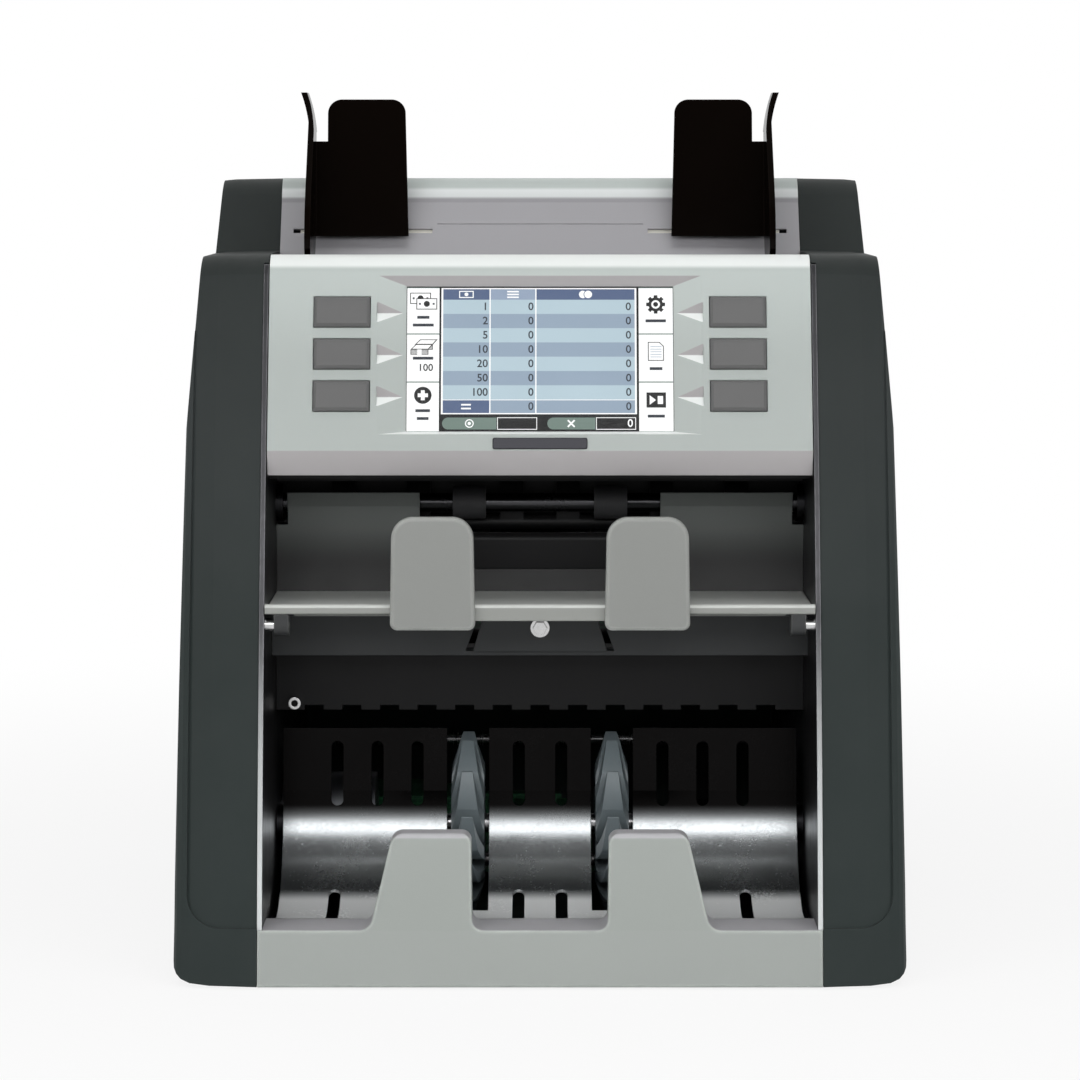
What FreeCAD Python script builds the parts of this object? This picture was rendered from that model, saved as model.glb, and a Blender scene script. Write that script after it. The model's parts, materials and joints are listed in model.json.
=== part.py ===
import FreeCAD, Part
import math
import os

import Sketcher
from fcgear import involute
from fcgear.fcgear import FCWireBuilder

# Two-pocket banknote counting machine, in millimetres.
# X runs across the machine, Y from its front to its back and Z up. The origin is on the table, under the
# middle of the machine. Depths in the tables below are measured back from the foremost line of the base.

Vector = FreeCAD.Vector
Rotation = FreeCAD.Rotation
Placement = FreeCAD.Placement

# Driving dimensions: name, value, what it measures
SIZES = [
    ("pocket_width", 224.0, "clear width between the two side frames"),
    ("frame_sheet", 2.0, "steel sheet of the side frames"),
    ("frame_height", 289.0, "top edge of the side frames"),
    ("cover_width", 34.6, "one side cover, from frame to outer face"),
    ("cover_wall", 3.0, "moulded wall of the side covers"),
    ("case_depth", 300.0, "front of the base to the back"),
    ("crown_rise", 35.4, "crown of the rear section above the side frames"),
    ("ground_gap", 1.0, "skirt edge above the table"),
    ("foot_height", 4.0, "rubber feet"),
    ("foot_radius", 10.0, "rubber feet"),
    ("skirt_height", 23.3, "base moulding under the pockets"),
    ("skirt_setback", 4.0, "lean of the base moulding"),
    ("belly_turn", 9.7, "sweep of the curved front, degrees"),
    ("shoulder_rise", 4.0, "top of the front section above the side frames"),
    ("shoulder_setback", 68.0, "depth where the curved front ends"),
    ("shoulder_round", 8.0, "tangent length of the shoulder corner"),
    ("shoulder_draw", 1.8, "front corner of a cover at the shoulder, as a share of that at the base"),
    ("rise_depth", 140.0, "depth where the rear section rises"),
    ("rise_run", 16.2, "run of the rear section's front face"),
    ("crown_round", 8.0, "tangent length of the crown corner"),
    ("tail_drop", 6.5, "fall of the roof to the back"),
    ("rear_round", 30.0, "tangent length of the rear corner"),
    ("side_slope", 0.8, "lean of the lower sides, degrees"),
    ("taper_height", 222.0, "height where the sides lean in further"),
    ("taper_slope", 4.2, "lean of the upper sides, degrees"),
    ("inlay_depth", 1.2, "step of the inlaid front face of a cover"),
    ("inlay_round", 13.0, "lower corner of that face"),
    ("inlay_edge", 30.6, "width of that face"),
    ("fit_gap", 0.4, "moving or sliding pieces beside fixed ones"),
    ("seat_gap", 0.2, "loose fit between fixed mouldings"),
    ("run_gap", 0.05, "radial running fit of a shaft in its bearing"),
    ("front_depth", 28.0, "ledge of the base moulding"),
    ("finger_height", 61.6, "top of the two note stops on the base"),
    ("finger_inner", 27.5, "inner side of a stop, from the middle"),
    ("finger_width", 32.0, "top of a stop"),
    ("finger_spread", 9.0, "outward slope of a stop's outer side"),
    ("finger_round", 4.5, "corners of a stop"),
    ("finger_back", 22.0, "depth of a stop's back face"),
    ("front_wall", 2.5, "moulded wall of the base front"),
    ("pan_sheet", 2.0, "steel sheet of the base pan"),
    ("pan_flange", 14.0, "upturned sides of the base pan"),
    ("plate_radius", 45.0, "curved stacker plate, inner face"),
    ("plate_centre_depth", 42.0, "centre of that curve"),
    ("plate_sheet", 1.0, "stacker plate sheet"),
    ("plate_side_gap", 3.0, "stacker plate to side frame"),
    ("plate_top", 92.0, "upper edge of the stacker plate"),
    ("plate_slot", 5.0, "width of the small slots in the plate"),
    ("wheel_spacing", 61.0, "between the two stacker wheels"),
    ("wheel_radius", 39.0, "blade tips"),
    ("wheel_width", 13.8, "wheel at its hub"),
    ("wheel_tip_width", 4.6, "blades at their tips"),
    ("wheel_taper", 14.0, "narrowing length of a blade"),
    ("wheel_phase", 15.0, "turn of the blades at rest, degrees"),
    ("wheel_blades", 12.0, "blades on a wheel"),
    ("wheel_drop", 18.0, "wheel axis in front of the note path"),
    ("wheel_height", 50.0, "wheel axis above the table"),
    ("wheel_slot_gap", 2.0, "wheel to the edge of its slot"),
    ("shaft_radius", 4.0, "all roller shafts"),
    ("bearing_radius", 8.0, "outer radius of a shaft bearing"),
    ("bearing_width", 5.0, "shaft bearing"),
    ("path_depth", 116.0, "plane of the vertical note path"),
    ("path_gap", 0.5, "rollers to the note path"),
    ("roller_radius", 15.0, "feed and transport rollers"),
    ("roller_width", 16.0, "feed and transport rollers"),
    ("roller_spacing", 60.0, "between the two rollers of a shaft"),
    ("feed_drop", 51.0, "feed shaft below the frames' top"),
    ("upper_height", 160.0, "upper transport shaft"),
    ("lower_height", 114.0, "lower transport shaft"),
    ("pickup_radius", 12.0, "pickup rollers"),
    ("pickup_rise", 1.5, "pickup rollers above the hopper plate"),
    ("pickup_run", 14.0, "pickup shaft, up the hopper plate"),
    ("retard_radius", 9.0, "retard rollers"),
    ("retard_lift", 5.0, "retard shaft above the feed shaft"),
    ("exit_radius", 7.0, "reject exit rollers"),
    ("exit_height", 187.0, "reject exit shaft"),
    ("exit_depth", 104.5, "reject exit shaft"),
    ("exit_mouth", 51.0, "half the opening for notes in the pocket's back"),
    ("hopper_angle", 56.5, "slope of the hopper plate, degrees"),
    ("hopper_length", 68.0, "hopper plate along its slope"),
    ("hopper_drop", 27.0, "lower edge of the hopper plate below the frames' top"),
    ("hopper_foot_offset", 3.0, "lower edge in front of the note path"),
    ("hopper_wall", 3.0, "hopper and roof moulding"),
    ("guide_wall", 2.5, "smoked note guides"),
    ("guide_reach", 96.5, "guide's side plate, from the middle"),
    ("guide_width", 40.0, "guide's back plate"),
    ("guide_rise", 69.0, "top of a guide's back plate above the side frames"),
    ("guide_lean", 12.0, "lean of a guide, degrees"),
    ("guide_slot_run", 47.4, "guide slot, up the hopper plate"),
    ("guide_slot", 2.2, "width of the guide slot"),
    ("guide_stem", 22.0, "length of the stem that runs in the slot"),
    ("step_run", 50.8, "fine step across the hopper plate"),
    ("step_half", 44.5, "half the length of that step"),
    ("step_sink", 0.3, "depth and half width of that step"),
    ("guide_inward", 26.0, "travel of a guide to the middle"),
    ("guide_outward", 8.0, "travel of a guide to the side"),
    ("gear_module", 1.0, "all gear teeth"),
    ("guide_pinion_teeth", 18.0, "pinion between the guide racks"),
    ("rack_thickness", 4.0, "guide racks"),
    ("rack_sink", 8.0, "racks below the face of the hopper plate"),
    ("shutter_sheet", 1.0, "strips that close the guide slots from below"),
    ("slot_lip", 1.0, "hopper plate left beside a guide slot"),
    ("panel_lean", 17.4, "lean of the control panel, degrees"),
    ("panel_depth", 44.0, "lower edge of the panel face"),
    ("panel_drop", 82.0, "lower edge of the panel face below the frames' top"),
    ("panel_length", 92.6, "panel face, up its slope"),
    ("panel_foot", 2.2, "panel below the lower edge of its face"),
    ("hinge_drop", 8.6, "panel hinge below the upper edge"),
    ("panel_body", 15.0, "panel, front to back"),
    ("panel_wall", 2.5, "panel moulding"),
    ("panel_swing", 55.0, "opening of the panel, degrees"),
    ("screen_width", 110.0, "visible screen"),
    ("screen_height", 61.6, "visible screen"),
    ("screen_centre", 46.3, "middle of the screen, up the panel"),
    ("screen_sink", 2.0, "depth of the bevel round the screen"),
    ("screen_bevel", 11.5, "bevel at the sides of the screen"),
    ("key_width", 23.0, "panel keys"),
    ("key_height", 12.7, "panel keys"),
    ("key_reach", 81.5, "middle of a key, from the middle"),
    ("key_pitch", 17.8, "between rows of keys"),
    ("key_row", 47.8, "middle row, up the panel"),
    ("key_proud", 1.6, "key above the panel face"),
    ("key_travel", 1.2, "press of a key"),
    ("tray_height", 150.0, "upper face of the reject tray"),
    ("tray_sheet", 3.0, "reject tray"),
    ("tray_front", 27.0, "front of the reject tray's lip"),
    ("tray_back", 97.0, "rear edge of the reject tray"),
    ("tray_pin_depth", 33.0, "tray pivot"),
    ("tray_pin_drop", 6.2, "tray pivot below the tray's upper face"),
    ("pin_radius", 2.5, "tray pivot pins"),
    ("ear_inset", 3.6, "open length of a tray pin beside the ear"),
    ("hinge_radius", 2.0, "panel hinge pins"),
    ("stop_width", 34.5, "reject note stops"),
    ("stop_height", 46.0, "reject note stops"),
    ("stop_thickness", 4.0, "reject note stops"),
    ("stop_reach", 43.5, "middle of a stop, from the middle"),
    ("stop_drop", 7.5, "stop below the tray's upper face"),
    ("divider_front", 70.0, "front face of the housing under the tray"),
    ("divider_bottom", 126.0, "lower edge of that face"),
    ("shield_proud", 2.5, "raised plate in the middle of that face"),
    ("shield_half", 28.0, "half the width of that plate at its foot"),
    ("comb_height", 101.0, "lower edge of the comb over the wheels"),
    ("gate_radius", 3.0, "diverter shaft"),
    ("gate_height", 178.0, "diverter shaft"),
    ("gate_length", 20.0, "diverter finger above its shaft"),
    ("gate_swing", 24.0, "throw of the diverter, degrees"),
    ("gear_gap", 0.12, "extra centre distance of the gears"),
    ("stacker_gear_teeth", 40.0, "gear on the wheel shaft"),
    ("stacker_pinion_teeth", 16.0, "pinion on the stacker motor"),
    ("gear_width", 7.0, "all gears"),
    ("pulley_radius", 12.0, "feed and transport pulleys"),
    ("pickup_pulley_radius", 9.0, "pulleys of the pickup belt"),
    ("motor_pulley_radius", 8.0, "pulley of the main motor"),
    ("belt_width", 6.0, "all belts"),
    ("belt_thickness", 1.4, "all belts"),
    ("belt_gap", 0.3, "belt to pulley"),
    ("motor_radius", 21.0, "main motor"),
    ("motor_depth", 205.0, "main motor axis"),
    ("motor_height", 150.0, "main motor axis"),
    ("rear_sheet", 3.0, "rear cover"),
    ("rear_drop", 7.0, "upper edge of the rear cover below the frames' top"),
    ("board_sheet", 1.6, "circuit boards"),
    ("inlet_centre", 78.0, "mains inlet, from the middle"),
    ("inlet_height", 40.0, "mains inlet above the table"),
    ("inlet_depth", 20.0, "mains inlet behind the rear cover"),
    ("switch_centre", 44.0, "power switch, from the middle"),
    ("rocker_swing", 14.0, "throw of the power switch, degrees"),
    ("sensor_drop", 85.0, "lower edge of the image sensors below the frames' top"),
    ("sensor_depth", 11.5, "image sensor, front to back"),
    ("guard_gap", 8.0, "sheet behind the note path, under the rear sensor"),
    ("guard_sheet", 1.5, "that sheet"),
    ("screw_radius", 3.0, "screw heads"),
]

# Places worked out from the driving dimensions: name, formula
PLACES = [
    ("frame_inner", "Sizes.pocket_width / 2"),
    ("frame_outer", "Sizes.pocket_width / 2 + Sizes.frame_sheet"),
    ("cover_outer", "Sizes.pocket_width / 2 + Sizes.frame_sheet + Sizes.cover_width"),
    ("half_depth", "Sizes.case_depth / 2"),
    ("case_height", "Sizes.frame_height + Sizes.crown_rise"),
    ("shoulder_height", "Sizes.frame_height + Sizes.shoulder_rise"),
    ("rear_top", "Sizes.frame_height - Sizes.rear_drop"),
    ("panel_height", "Sizes.frame_height - Sizes.panel_drop"),
    ("hopper_foot", "Sizes.frame_height - Sizes.hopper_drop"),
    ("guide_top", "Sizes.frame_height + Sizes.guide_rise"),
    ("feed_height", "Sizes.frame_height - Sizes.feed_drop"),
    ("sensor_height", "Sizes.frame_height - Sizes.sensor_drop"),
    ("roller_depth", "Sizes.path_depth + Sizes.path_gap + Sizes.roller_radius"),
    ("wheel_depth", "Sizes.path_depth - Sizes.wheel_drop"),
    ("plate_floor", "Sizes.skirt_height - 2.5"),
    ("hopper_depth", "Sizes.path_depth - Sizes.hopper_foot_offset"),
    ("pickup_sink", "Sizes.pickup_radius - Sizes.pickup_rise"),
    ("pickup_depth", "Places.hopper_depth + Sizes.pickup_run * cos(Sizes.hopper_angle)"
                     " + Places.pickup_sink * sin(Sizes.hopper_angle)"),
    ("pickup_height", "Places.hopper_foot + Sizes.pickup_run * sin(Sizes.hopper_angle)"
                      " - Places.pickup_sink * cos(Sizes.hopper_angle)"),
    ("retard_depth", "Sizes.path_depth - Sizes.path_gap - Sizes.retard_radius"),
    ("retard_height", "Places.feed_height + Sizes.retard_lift"),
    ("pinion_pitch", "Sizes.gear_module * Sizes.guide_pinion_teeth / 2"),
    ("pinion_run", "Sizes.guide_slot_run - Places.pinion_pitch + 2.6"),
    ("hinge_in", "Sizes.panel_body - 4"),
    ("hinge_up", "Sizes.panel_length - Sizes.hinge_drop"),
    ("hinge_depth", "Sizes.panel_depth + Places.hinge_in * cos(Sizes.panel_lean)"
                    " + Places.hinge_up * sin(Sizes.panel_lean)"),
    ("hinge_height", "Places.panel_height - Places.hinge_in * sin(Sizes.panel_lean)"
                     " + Places.hinge_up * cos(Sizes.panel_lean)"),
    ("tray_pin_height", "Sizes.tray_height - Sizes.tray_pin_drop"),
    ("stacker_gap", "Sizes.gear_module * (Sizes.stacker_gear_teeth + Sizes.stacker_pinion_teeth) / 2"
                    " + Sizes.gear_gap"),
    ("stacker_motor_depth", "Places.wheel_depth + Places.stacker_gap"),
    ("guide_foot", "Places.hopper_foot + Sizes.guide_slot_run * sin(Sizes.hopper_angle) - 2.16"),
    ("guide_depth", "Places.hopper_depth + Sizes.guide_slot_run * cos(Sizes.hopper_angle) - 7.46"),
]

DOC = FreeCAD.newDocument("note_counter")
NODES = []


# The two tables go into spreadsheets that everything else is bound to

def fill_sheet(name, rows):
    sheet = DOC.addObject("Spreadsheet::Sheet", name)
    for number, row in enumerate(rows, start=1):
        sheet.set(f"A{number}", row[0])
        sheet.set(f"B{number}", row[1])
        sheet.setAlias(f"B{number}", row[0])
        sheet.set(f"C{number}", row[2])
    return sheet


SHEET = fill_sheet("Sizes", [(name, str(number), words) for name, number, words in SIZES])
fill_sheet("Places", [(name, "=" + formula, "worked out") for name, formula in PLACES])
DOC.recompute()


def value(text):
    """The number that an expression comes to."""
    number = SHEET.evalExpression(str(text))
    return float(getattr(number, "Value", number))


# Small helpers that make bound sketches, features and primitives

def bind(thing, **expressions):
    """Binds properties to expressions; a double underscore stands for a dot."""
    for name, text in expressions.items():
        thing.setExpression(name.replace("__", "."), str(text))
    return thing


def new_body(name, depth="-Places.half_depth", height="0", tilt=None):
    """A body whose own Y is a depth; tilt turns it about X."""
    body = DOC.addObject("PartDesign::Body", name)
    if tilt:
        body.Placement = Placement(Vector(0, 0, 0), Rotation(Vector(1, 0, 0), value(tilt)))
        bind(body, Placement__Rotation__Angle=tilt)
    bind(body, Placement__Base__y=depth, Placement__Base__z=height)
    return body


def in_panel_frame(thing):
    """Places a primitive in the panel's own frame."""
    thing.Placement = Placement(Vector(0, 0, 0), Rotation(Vector(1, 0, 0), -value("Sizes.panel_lean")))
    return bind(thing, Placement__Rotation__Angle="-Sizes.panel_lean",
                Placement__Base__z="Places.panel_height",
                Placement__Base__y="Sizes.panel_depth - Places.half_depth")


def panel_body(name):
    """A body in the panel's own frame: X across, Y into the panel, Z up its face."""
    depth = "Sizes.panel_depth - Places.half_depth"
    return new_body(name, depth, "Places.panel_height", "-Sizes.panel_lean")


def hopper_body(name):
    """A body in the hopper plate's own frame: X across, Y up the plate, Z out of its face."""
    depth = "Places.hopper_depth - Places.half_depth"
    return new_body(name, depth, "Places.hopper_foot", "Sizes.hopper_angle")


def arc_between(start, end, turn):
    """An arc that sweeps turn degrees from start to end, and which of its ends comes first."""
    chord = end - start
    radius = chord.Length / (2 * abs(math.sin(math.radians(turn) / 2)))
    side = Vector(-chord.y, chord.x, 0).normalize()
    rise = radius * math.cos(math.radians(turn) / 2) * (1 if turn > 0 else -1)
    centre = (start + end) * 0.5 + side * rise
    first, last = (start, end) if turn > 0 else (end, start)
    angles = [math.atan2(p.y - centre.y, p.x - centre.x) for p in (first, last)]
    if angles[1] < angles[0]:
        angles[1] += 2 * math.pi
    arc = Part.ArcOfCircle(Part.Circle(centre, Vector(0, 0, 1), radius), *angles)
    return arc, (1, 2) if turn > 0 else (2, 1)


def add_loop(sketch, points):
    """A closed outline. A point is (x, y), reached by a line, or (x, y, turn), reached by an arc."""
    places = [Vector(value(p[0]), value(p[1]), 0) for p in points]
    base = sketch.GeometryCount
    shapes, ends, constraints, bound = [], [], [], []
    for i, start in enumerate(places):
        after = (i + 1) % len(points)
        turn = value(points[after][2]) if len(points[after]) > 2 else 0
        if turn:
            arc, order = arc_between(start, places[after], turn)
        else:
            arc, order = Part.LineSegment(start, places[after]), (1, 2)
        shapes.append(arc)
        ends.append(order)
    sketch.addGeometry(shapes, False)
    first = sketch.ConstraintCount
    for i, order in enumerate(ends):
        after = (i + 1) % len(points)
        meeting = (base + i, order[1], base + after, ends[after][0])
        constraints.append(Sketcher.Constraint("Coincident", *meeting))
        for kind, text, number in (("DistanceX", points[i][0], places[i].x),
                                   ("DistanceY", points[i][1], places[i].y)):
            bound.append((first + len(constraints), text))
            constraints.append(Sketcher.Constraint(kind, -1, 1, base + i, order[0], number))
        if len(points[after]) > 2:
            (x0, y0), (x1, y1, turn) = points[i][:2], points[after]
            radius = (f"sqrt((({x1}) - ({x0}))^2 + (({y1}) - ({y0}))^2)"
                      f" / (2 * sin(abs({turn}) / 2))")
            bound.append((first + len(constraints), radius))
            constraints.append(Sketcher.Constraint("Radius", base + i, shapes[i].Radius))
    sketch.addConstraint(constraints)
    for index, text in bound:
        sketch.setExpression(f"Constraints[{index}]", str(text))


def add_circle(sketch, x, y, radius):
    """A bound circle."""
    centre = Vector(value(x), value(y), 0)
    index = sketch.addGeometry(Part.Circle(centre, Vector(0, 0, 1), value(radius)), False)
    first = sketch.ConstraintCount
    sketch.addConstraint([Sketcher.Constraint("DistanceX", -1, 1, index, 3, centre.x),
                          Sketcher.Constraint("DistanceY", -1, 1, index, 3, centre.y),
                          Sketcher.Constraint("Radius", index, value(radius))])
    for number, text in enumerate((x, y, radius)):
        sketch.setExpression(f"Constraints[{first + number}]", str(text))


def rectangle(low_x, low_y, high_x, high_y):
    return [(low_x, low_y), (high_x, low_y), (high_x, high_y), (low_x, high_y)]


def slot_x(centre, low, high, width):
    """An upright slot with round ends."""
    left, right = f"({centre}) - ({width}) / 2", f"({centre}) + ({width}) / 2"
    return [(left, low), (centre, f"{low} - ({width}) / 2", 90), (right, low, 90), (right, high),
            (centre, f"{high} + ({width}) / 2", 90), (left, high, 90)]


def sketch_on(body, plane, *loops, circles=(), lift=None):
    """A sketch on one of the body's own planes, moved along that plane's normal by lift."""
    sketch = body.newObject("Sketcher::SketchObject", body.Name + "_outline")
    support = next(f for f in body.Origin.OriginFeatures if f.Role == plane + "_Plane")
    sketch.AttachmentSupport = (support, [""])
    sketch.MapMode = "FlatFace"
    if lift:
        bind(sketch, AttachmentOffset__Base__z=lift)
    for loop in loops:
        add_loop(sketch, loop)
    for circle in circles:
        add_circle(sketch, *circle)
    return sketch


def add_feature(body, kind, sketch, length=None, both=False, back=False):
    """Pads or pockets a sketch; with no length a pocket goes through everything."""
    feature = body.newObject("PartDesign::" + kind, body.Name + "_" + kind.lower())
    feature.Profile = sketch
    if length is None:
        feature.Type = "ThroughAll"
    else:
        bind(feature, Length=length)
    if both:
        feature.SideType = "Symmetric"
    feature.Reversed = back
    return feature


def pad(body, sketch, length, both=False, back=False):
    return add_feature(body, "Pad", sketch, length, both, back)


def pocket(body, sketch, length=None, both=False, back=False):
    """Cuts a sketch out and makes sure that the cut takes material away."""
    DOC.recompute()
    before = body.Shape.Volume
    feature = add_feature(body, "Pocket", sketch, length, both, back)
    DOC.recompute()
    if not body.Shape.Volume < before - 0.01:
        raise RuntimeError(f"a cut in {body.Name} takes nothing away")
    return feature


def round_edges(body, radius, wanted, kind="Fillet"):
    """Rounds or bevels the edges of a body's tip that the test picks."""
    DOC.recompute()
    tip = body.Tip
    names = [f"Edge{i}" for i, edge in enumerate(tip.Shape.Edges, start=1) if wanted(edge)]
    if not names:
        raise RuntimeError(f"no edge to round on {body.Name}")
    feature = body.newObject("PartDesign::" + kind, body.Name + "_" + kind.lower())
    feature.Base = (tip, names)
    bind(feature, **{"Radius" if kind == "Fillet" else "Size": radius})
    return feature


def rod(name, x, depth, height, radius, length):
    """A cylinder along X."""
    thing = DOC.addObject("Part::Cylinder", name)
    thing.Placement = Placement(Vector(0, 0, 0), Rotation(Vector(0, 1, 0), 90))
    return bind(thing, Radius=radius, Height=length, Placement__Base__x=x,
                Placement__Base__y=f"{depth} - Places.half_depth", Placement__Base__z=height)


def block(name, low, high):
    """A box between two corners, given as x, depth and height."""
    thing = DOC.addObject("Part::Box", name)
    bind(thing, Length=f"({high[0]}) - ({low[0]})", Width=f"({high[1]}) - ({low[1]})",
         Height=f"({high[2]}) - ({low[2]})")
    return bind(thing, Placement__Base__x=low[0], Placement__Base__y=f"({low[1]}) - Places.half_depth",
                Placement__Base__z=low[2])


def fuse(name, things):
    thing = DOC.addObject("Part::MultiFuse", name)
    thing.Shapes = things
    return thing


def cut(name, base, tool):
    thing = DOC.addObject("Part::Cut", name)
    thing.Base = base
    thing.Tool = tool
    return thing


def common(name, *things):
    thing = DOC.addObject("Part::MultiCommon", name)
    thing.Shapes = list(things)
    return thing


def group(name, things):
    """Separate solids that share one node."""
    thing = DOC.addObject("Part::Compound", name)
    thing.Links = things
    return thing


def mirror(name, source):
    thing = DOC.addObject("Part::Mirroring", name)
    thing.Source = source
    thing.Normal = Vector(1, 0, 0)
    return thing


def ring(name, x, depth, height, outer, inner, length):
    return cut(name, rod(name + "_outer", x, depth, height, outer, length),
               rod(name + "_bore", f"({x}) - 1", depth, height, inner, f"({length}) + 2"))


def node(label, thing):
    """Names a finished sub-part."""
    thing.Label = label
    NODES.append(thing)
    return thing


# Side outline of the case, from the base's front edge up, over the roof and down the back

def case_outline(front="0", top="0", rear="0", bottom="0"):
    crown = "Sizes.rise_depth + Sizes.rise_run"
    upper = f"{front} * Sizes.shoulder_draw"
    return [
        (front, f"Sizes.ground_gap + {bottom}"),
        (f"Sizes.skirt_setback + {front}", "Sizes.skirt_height"),
        (f"Sizes.shoulder_setback + {upper}", f"Places.shoulder_height - Sizes.shoulder_round - {top}",
         "-Sizes.belly_turn"),
        (f"Sizes.shoulder_setback + 1.394 * Sizes.shoulder_round + {upper}",
         f"Places.shoulder_height - {top}", "-71"),
        (f"Sizes.rise_depth + {front} / 2", f"Places.shoulder_height - {top}"),
        (f"{crown} - 0.476 * Sizes.crown_round + {front} / 2",
         f"Places.case_height - 0.88 * Sizes.crown_round - {top}"),
        (f"{crown} + Sizes.crown_round + {front} / 2",
         f"Places.case_height - 0.045 * Sizes.crown_round - {top}", "-64"),
        (f"Sizes.case_depth - Sizes.rear_round - {rear}",
         f"Places.case_height - Sizes.tail_drop + 0.045 * Sizes.rear_round - {top}"),
        (f"Sizes.case_depth - {rear}",
         f"Places.case_height - Sizes.tail_drop - Sizes.rear_round - {top}", "-87.4"),
        (f"Sizes.case_depth - {rear}", f"Sizes.ground_gap + {bottom}"),
    ]


# Side covers: a skin lofted outwards through sections that draw in at the front, roof, back and skirt

# Share of the cover's width, then how far the front, roof, back and skirt have drawn in
COVER_SECTIONS = [
    (0.0, 0.0, 0.0, 0.0, 0.0),
    (0.58, 2.0, 0.4, 0.0, 0.2),
    (0.80, 3.2, 1.2, 2.0, 1.0),
    (0.90, 4.6, 2.4, 4.0, 2.4),
    (0.955, 6.5, 3.8, 6.5, 4.2),
    (0.985, 9.0, 5.4, 9.0, 6.2),
    (1.0, 13.0, 8.0, 12.0, 9.0),
]


def cover_skin(name, shift):
    body = new_body(name, f"{shift} - Places.half_depth")
    sections = []
    for share, front, top, rear, bottom in COVER_SECTIONS:
        lift = f"Places.frame_inner + (Sizes.frame_sheet + Sizes.cover_width) * {share}"
        outline = case_outline(str(front), str(top), str(rear), str(bottom))
        sections.append(sketch_on(body, "YZ", outline, lift=lift))
    loft = body.newObject("PartDesign::AdditiveLoft", name + "_loft")
    loft.Profile = sections[0]
    loft.Sections = sections[1:]
    loft.Ruled = True
    DOC.recompute()
    low, high = "Sizes.ground_gap", "Places.case_height + 20"
    bend = f"Places.cover_outer - (Sizes.taper_height - {low}) * tan(Sizes.side_slope)"
    lean = f"({high} - Sizes.taper_height) * tan(Sizes.taper_slope)"
    wedge = [("Places.cover_outer", low), ("Places.cover_outer + 5", low), ("Places.cover_outer + 5", high),
             (f"{bend} - {lean}", high), (bend, "Sizes.taper_height")]
    pocket(body, sketch_on(body, "XZ", wedge), both=True)
    return body


def make_side_covers():
    skin = cover_skin("cover_skin", "0")
    inner_skin = cover_skin("cover_inlay_skin", "Sizes.inlay_depth")
    inlay = new_body("cover_inlay")
    edge = "Places.frame_inner + Sizes.inlay_edge"
    low, high = "Sizes.skirt_height + 0.6", "Places.case_height"
    pad(inlay, sketch_on(inlay, "XZ", [
        ("Places.frame_inner - 5", low), (f"{edge} - Sizes.inlay_round", low),
        (edge, f"{low} + Sizes.inlay_round", 90), (edge, high), ("Places.frame_inner - 5", high)]),
        "Sizes.rise_depth - 20", back=True)
    recess = cut("cover_recess", inlay, inner_skin)
    hollow = new_body("cover_hollow")
    wall, inner_top = "Sizes.cover_wall", "Sizes.frame_height - 4"
    last_front, _, last_rear, last_bottom = COVER_SECTIONS[-1][1:]
    front, rear = f"{last_front} + {wall}", f"Sizes.case_depth - {last_rear} - {wall}"
    floor = f"Sizes.ground_gap + {last_bottom} + {wall}"
    pad(hollow, sketch_on(hollow, "YZ", [
        (front, floor), (f"{front} + 8", "Sizes.skirt_height * 3"),
        (f"Sizes.shoulder_setback + {last_front} * Sizes.shoulder_draw + {wall}", inner_top),
        (rear, inner_top), (rear, floor)], lift="Places.frame_outer - 1"),
        "Sizes.cover_width + 1 - 3 * Sizes.cover_wall")
    seat = block("cover_frame_seat", ("Places.frame_inner - 5", "-20", "0"),
                 ("Places.frame_outer", "Sizes.case_depth + 20", "Sizes.frame_height + 0.5"))
    shell = cut("right_cover_shell", skin, fuse("cover_cuts", [recess, hollow, seat]))
    node("right_side_cover", shell)
    node("left_side_cover", mirror("left_cover_shell", shell))


# Side frames: steel sheets that carry every shaft

def make_side_frames():
    body = new_body("frame_sheet_body")
    inset = "0.8"
    foot, ledge = "Sizes.foot_height", "Sizes.skirt_height"
    behind = "Sizes.front_depth"
    rear = "Sizes.case_depth - Sizes.rear_sheet"
    outline = [
        (behind, foot), (behind, ledge), (f"Sizes.skirt_setback + {inset}", ledge),
        (f"Sizes.shoulder_setback + {inset}", "Sizes.frame_height - 4", "-Sizes.belly_turn"),
        (f"Sizes.shoulder_setback + {inset} + 2", "Sizes.frame_height"),
        (f"{rear} - 20", "Sizes.frame_height"), (rear, "Sizes.frame_height - 20"), (rear, foot),
    ]
    seat = "Sizes.bearing_radius + 0.02"
    holes = [
        ("Places.roller_depth", "Places.feed_height", seat),
        ("Places.roller_depth", "Sizes.upper_height", seat),
        ("Places.roller_depth", "Sizes.lower_height", seat),
        ("Places.pickup_depth", "Places.pickup_height", seat),
        ("Places.wheel_depth", "Sizes.wheel_height", seat),
        ("Sizes.exit_depth", "Sizes.exit_height", seat),
        ("Places.retard_depth", "Places.retard_height", "Sizes.shaft_radius"),
        ("Sizes.path_depth - 4", "Sizes.gate_height", "Sizes.gate_radius + Sizes.run_gap"),
        ("Sizes.tray_pin_depth", "Places.tray_pin_height", "Sizes.pin_radius"),
        ("Places.hinge_depth", "Places.hinge_height", "Sizes.hinge_radius"),
        ("Sizes.motor_depth", "Sizes.motor_height", "Sizes.shaft_radius + 1"),
        ("Places.stacker_motor_depth", "Sizes.wheel_height", "Sizes.shaft_radius + 1"),
    ]
    pad(body, sketch_on(body, "YZ", outline, circles=holes, lift="Places.frame_inner"), "Sizes.frame_sheet")
    node("right_side_frame", body)
    node("left_side_frame", mirror("left_frame_sheet", body))


# Base pan, feet, tie bars and the moulded base front with its two note stops

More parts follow.
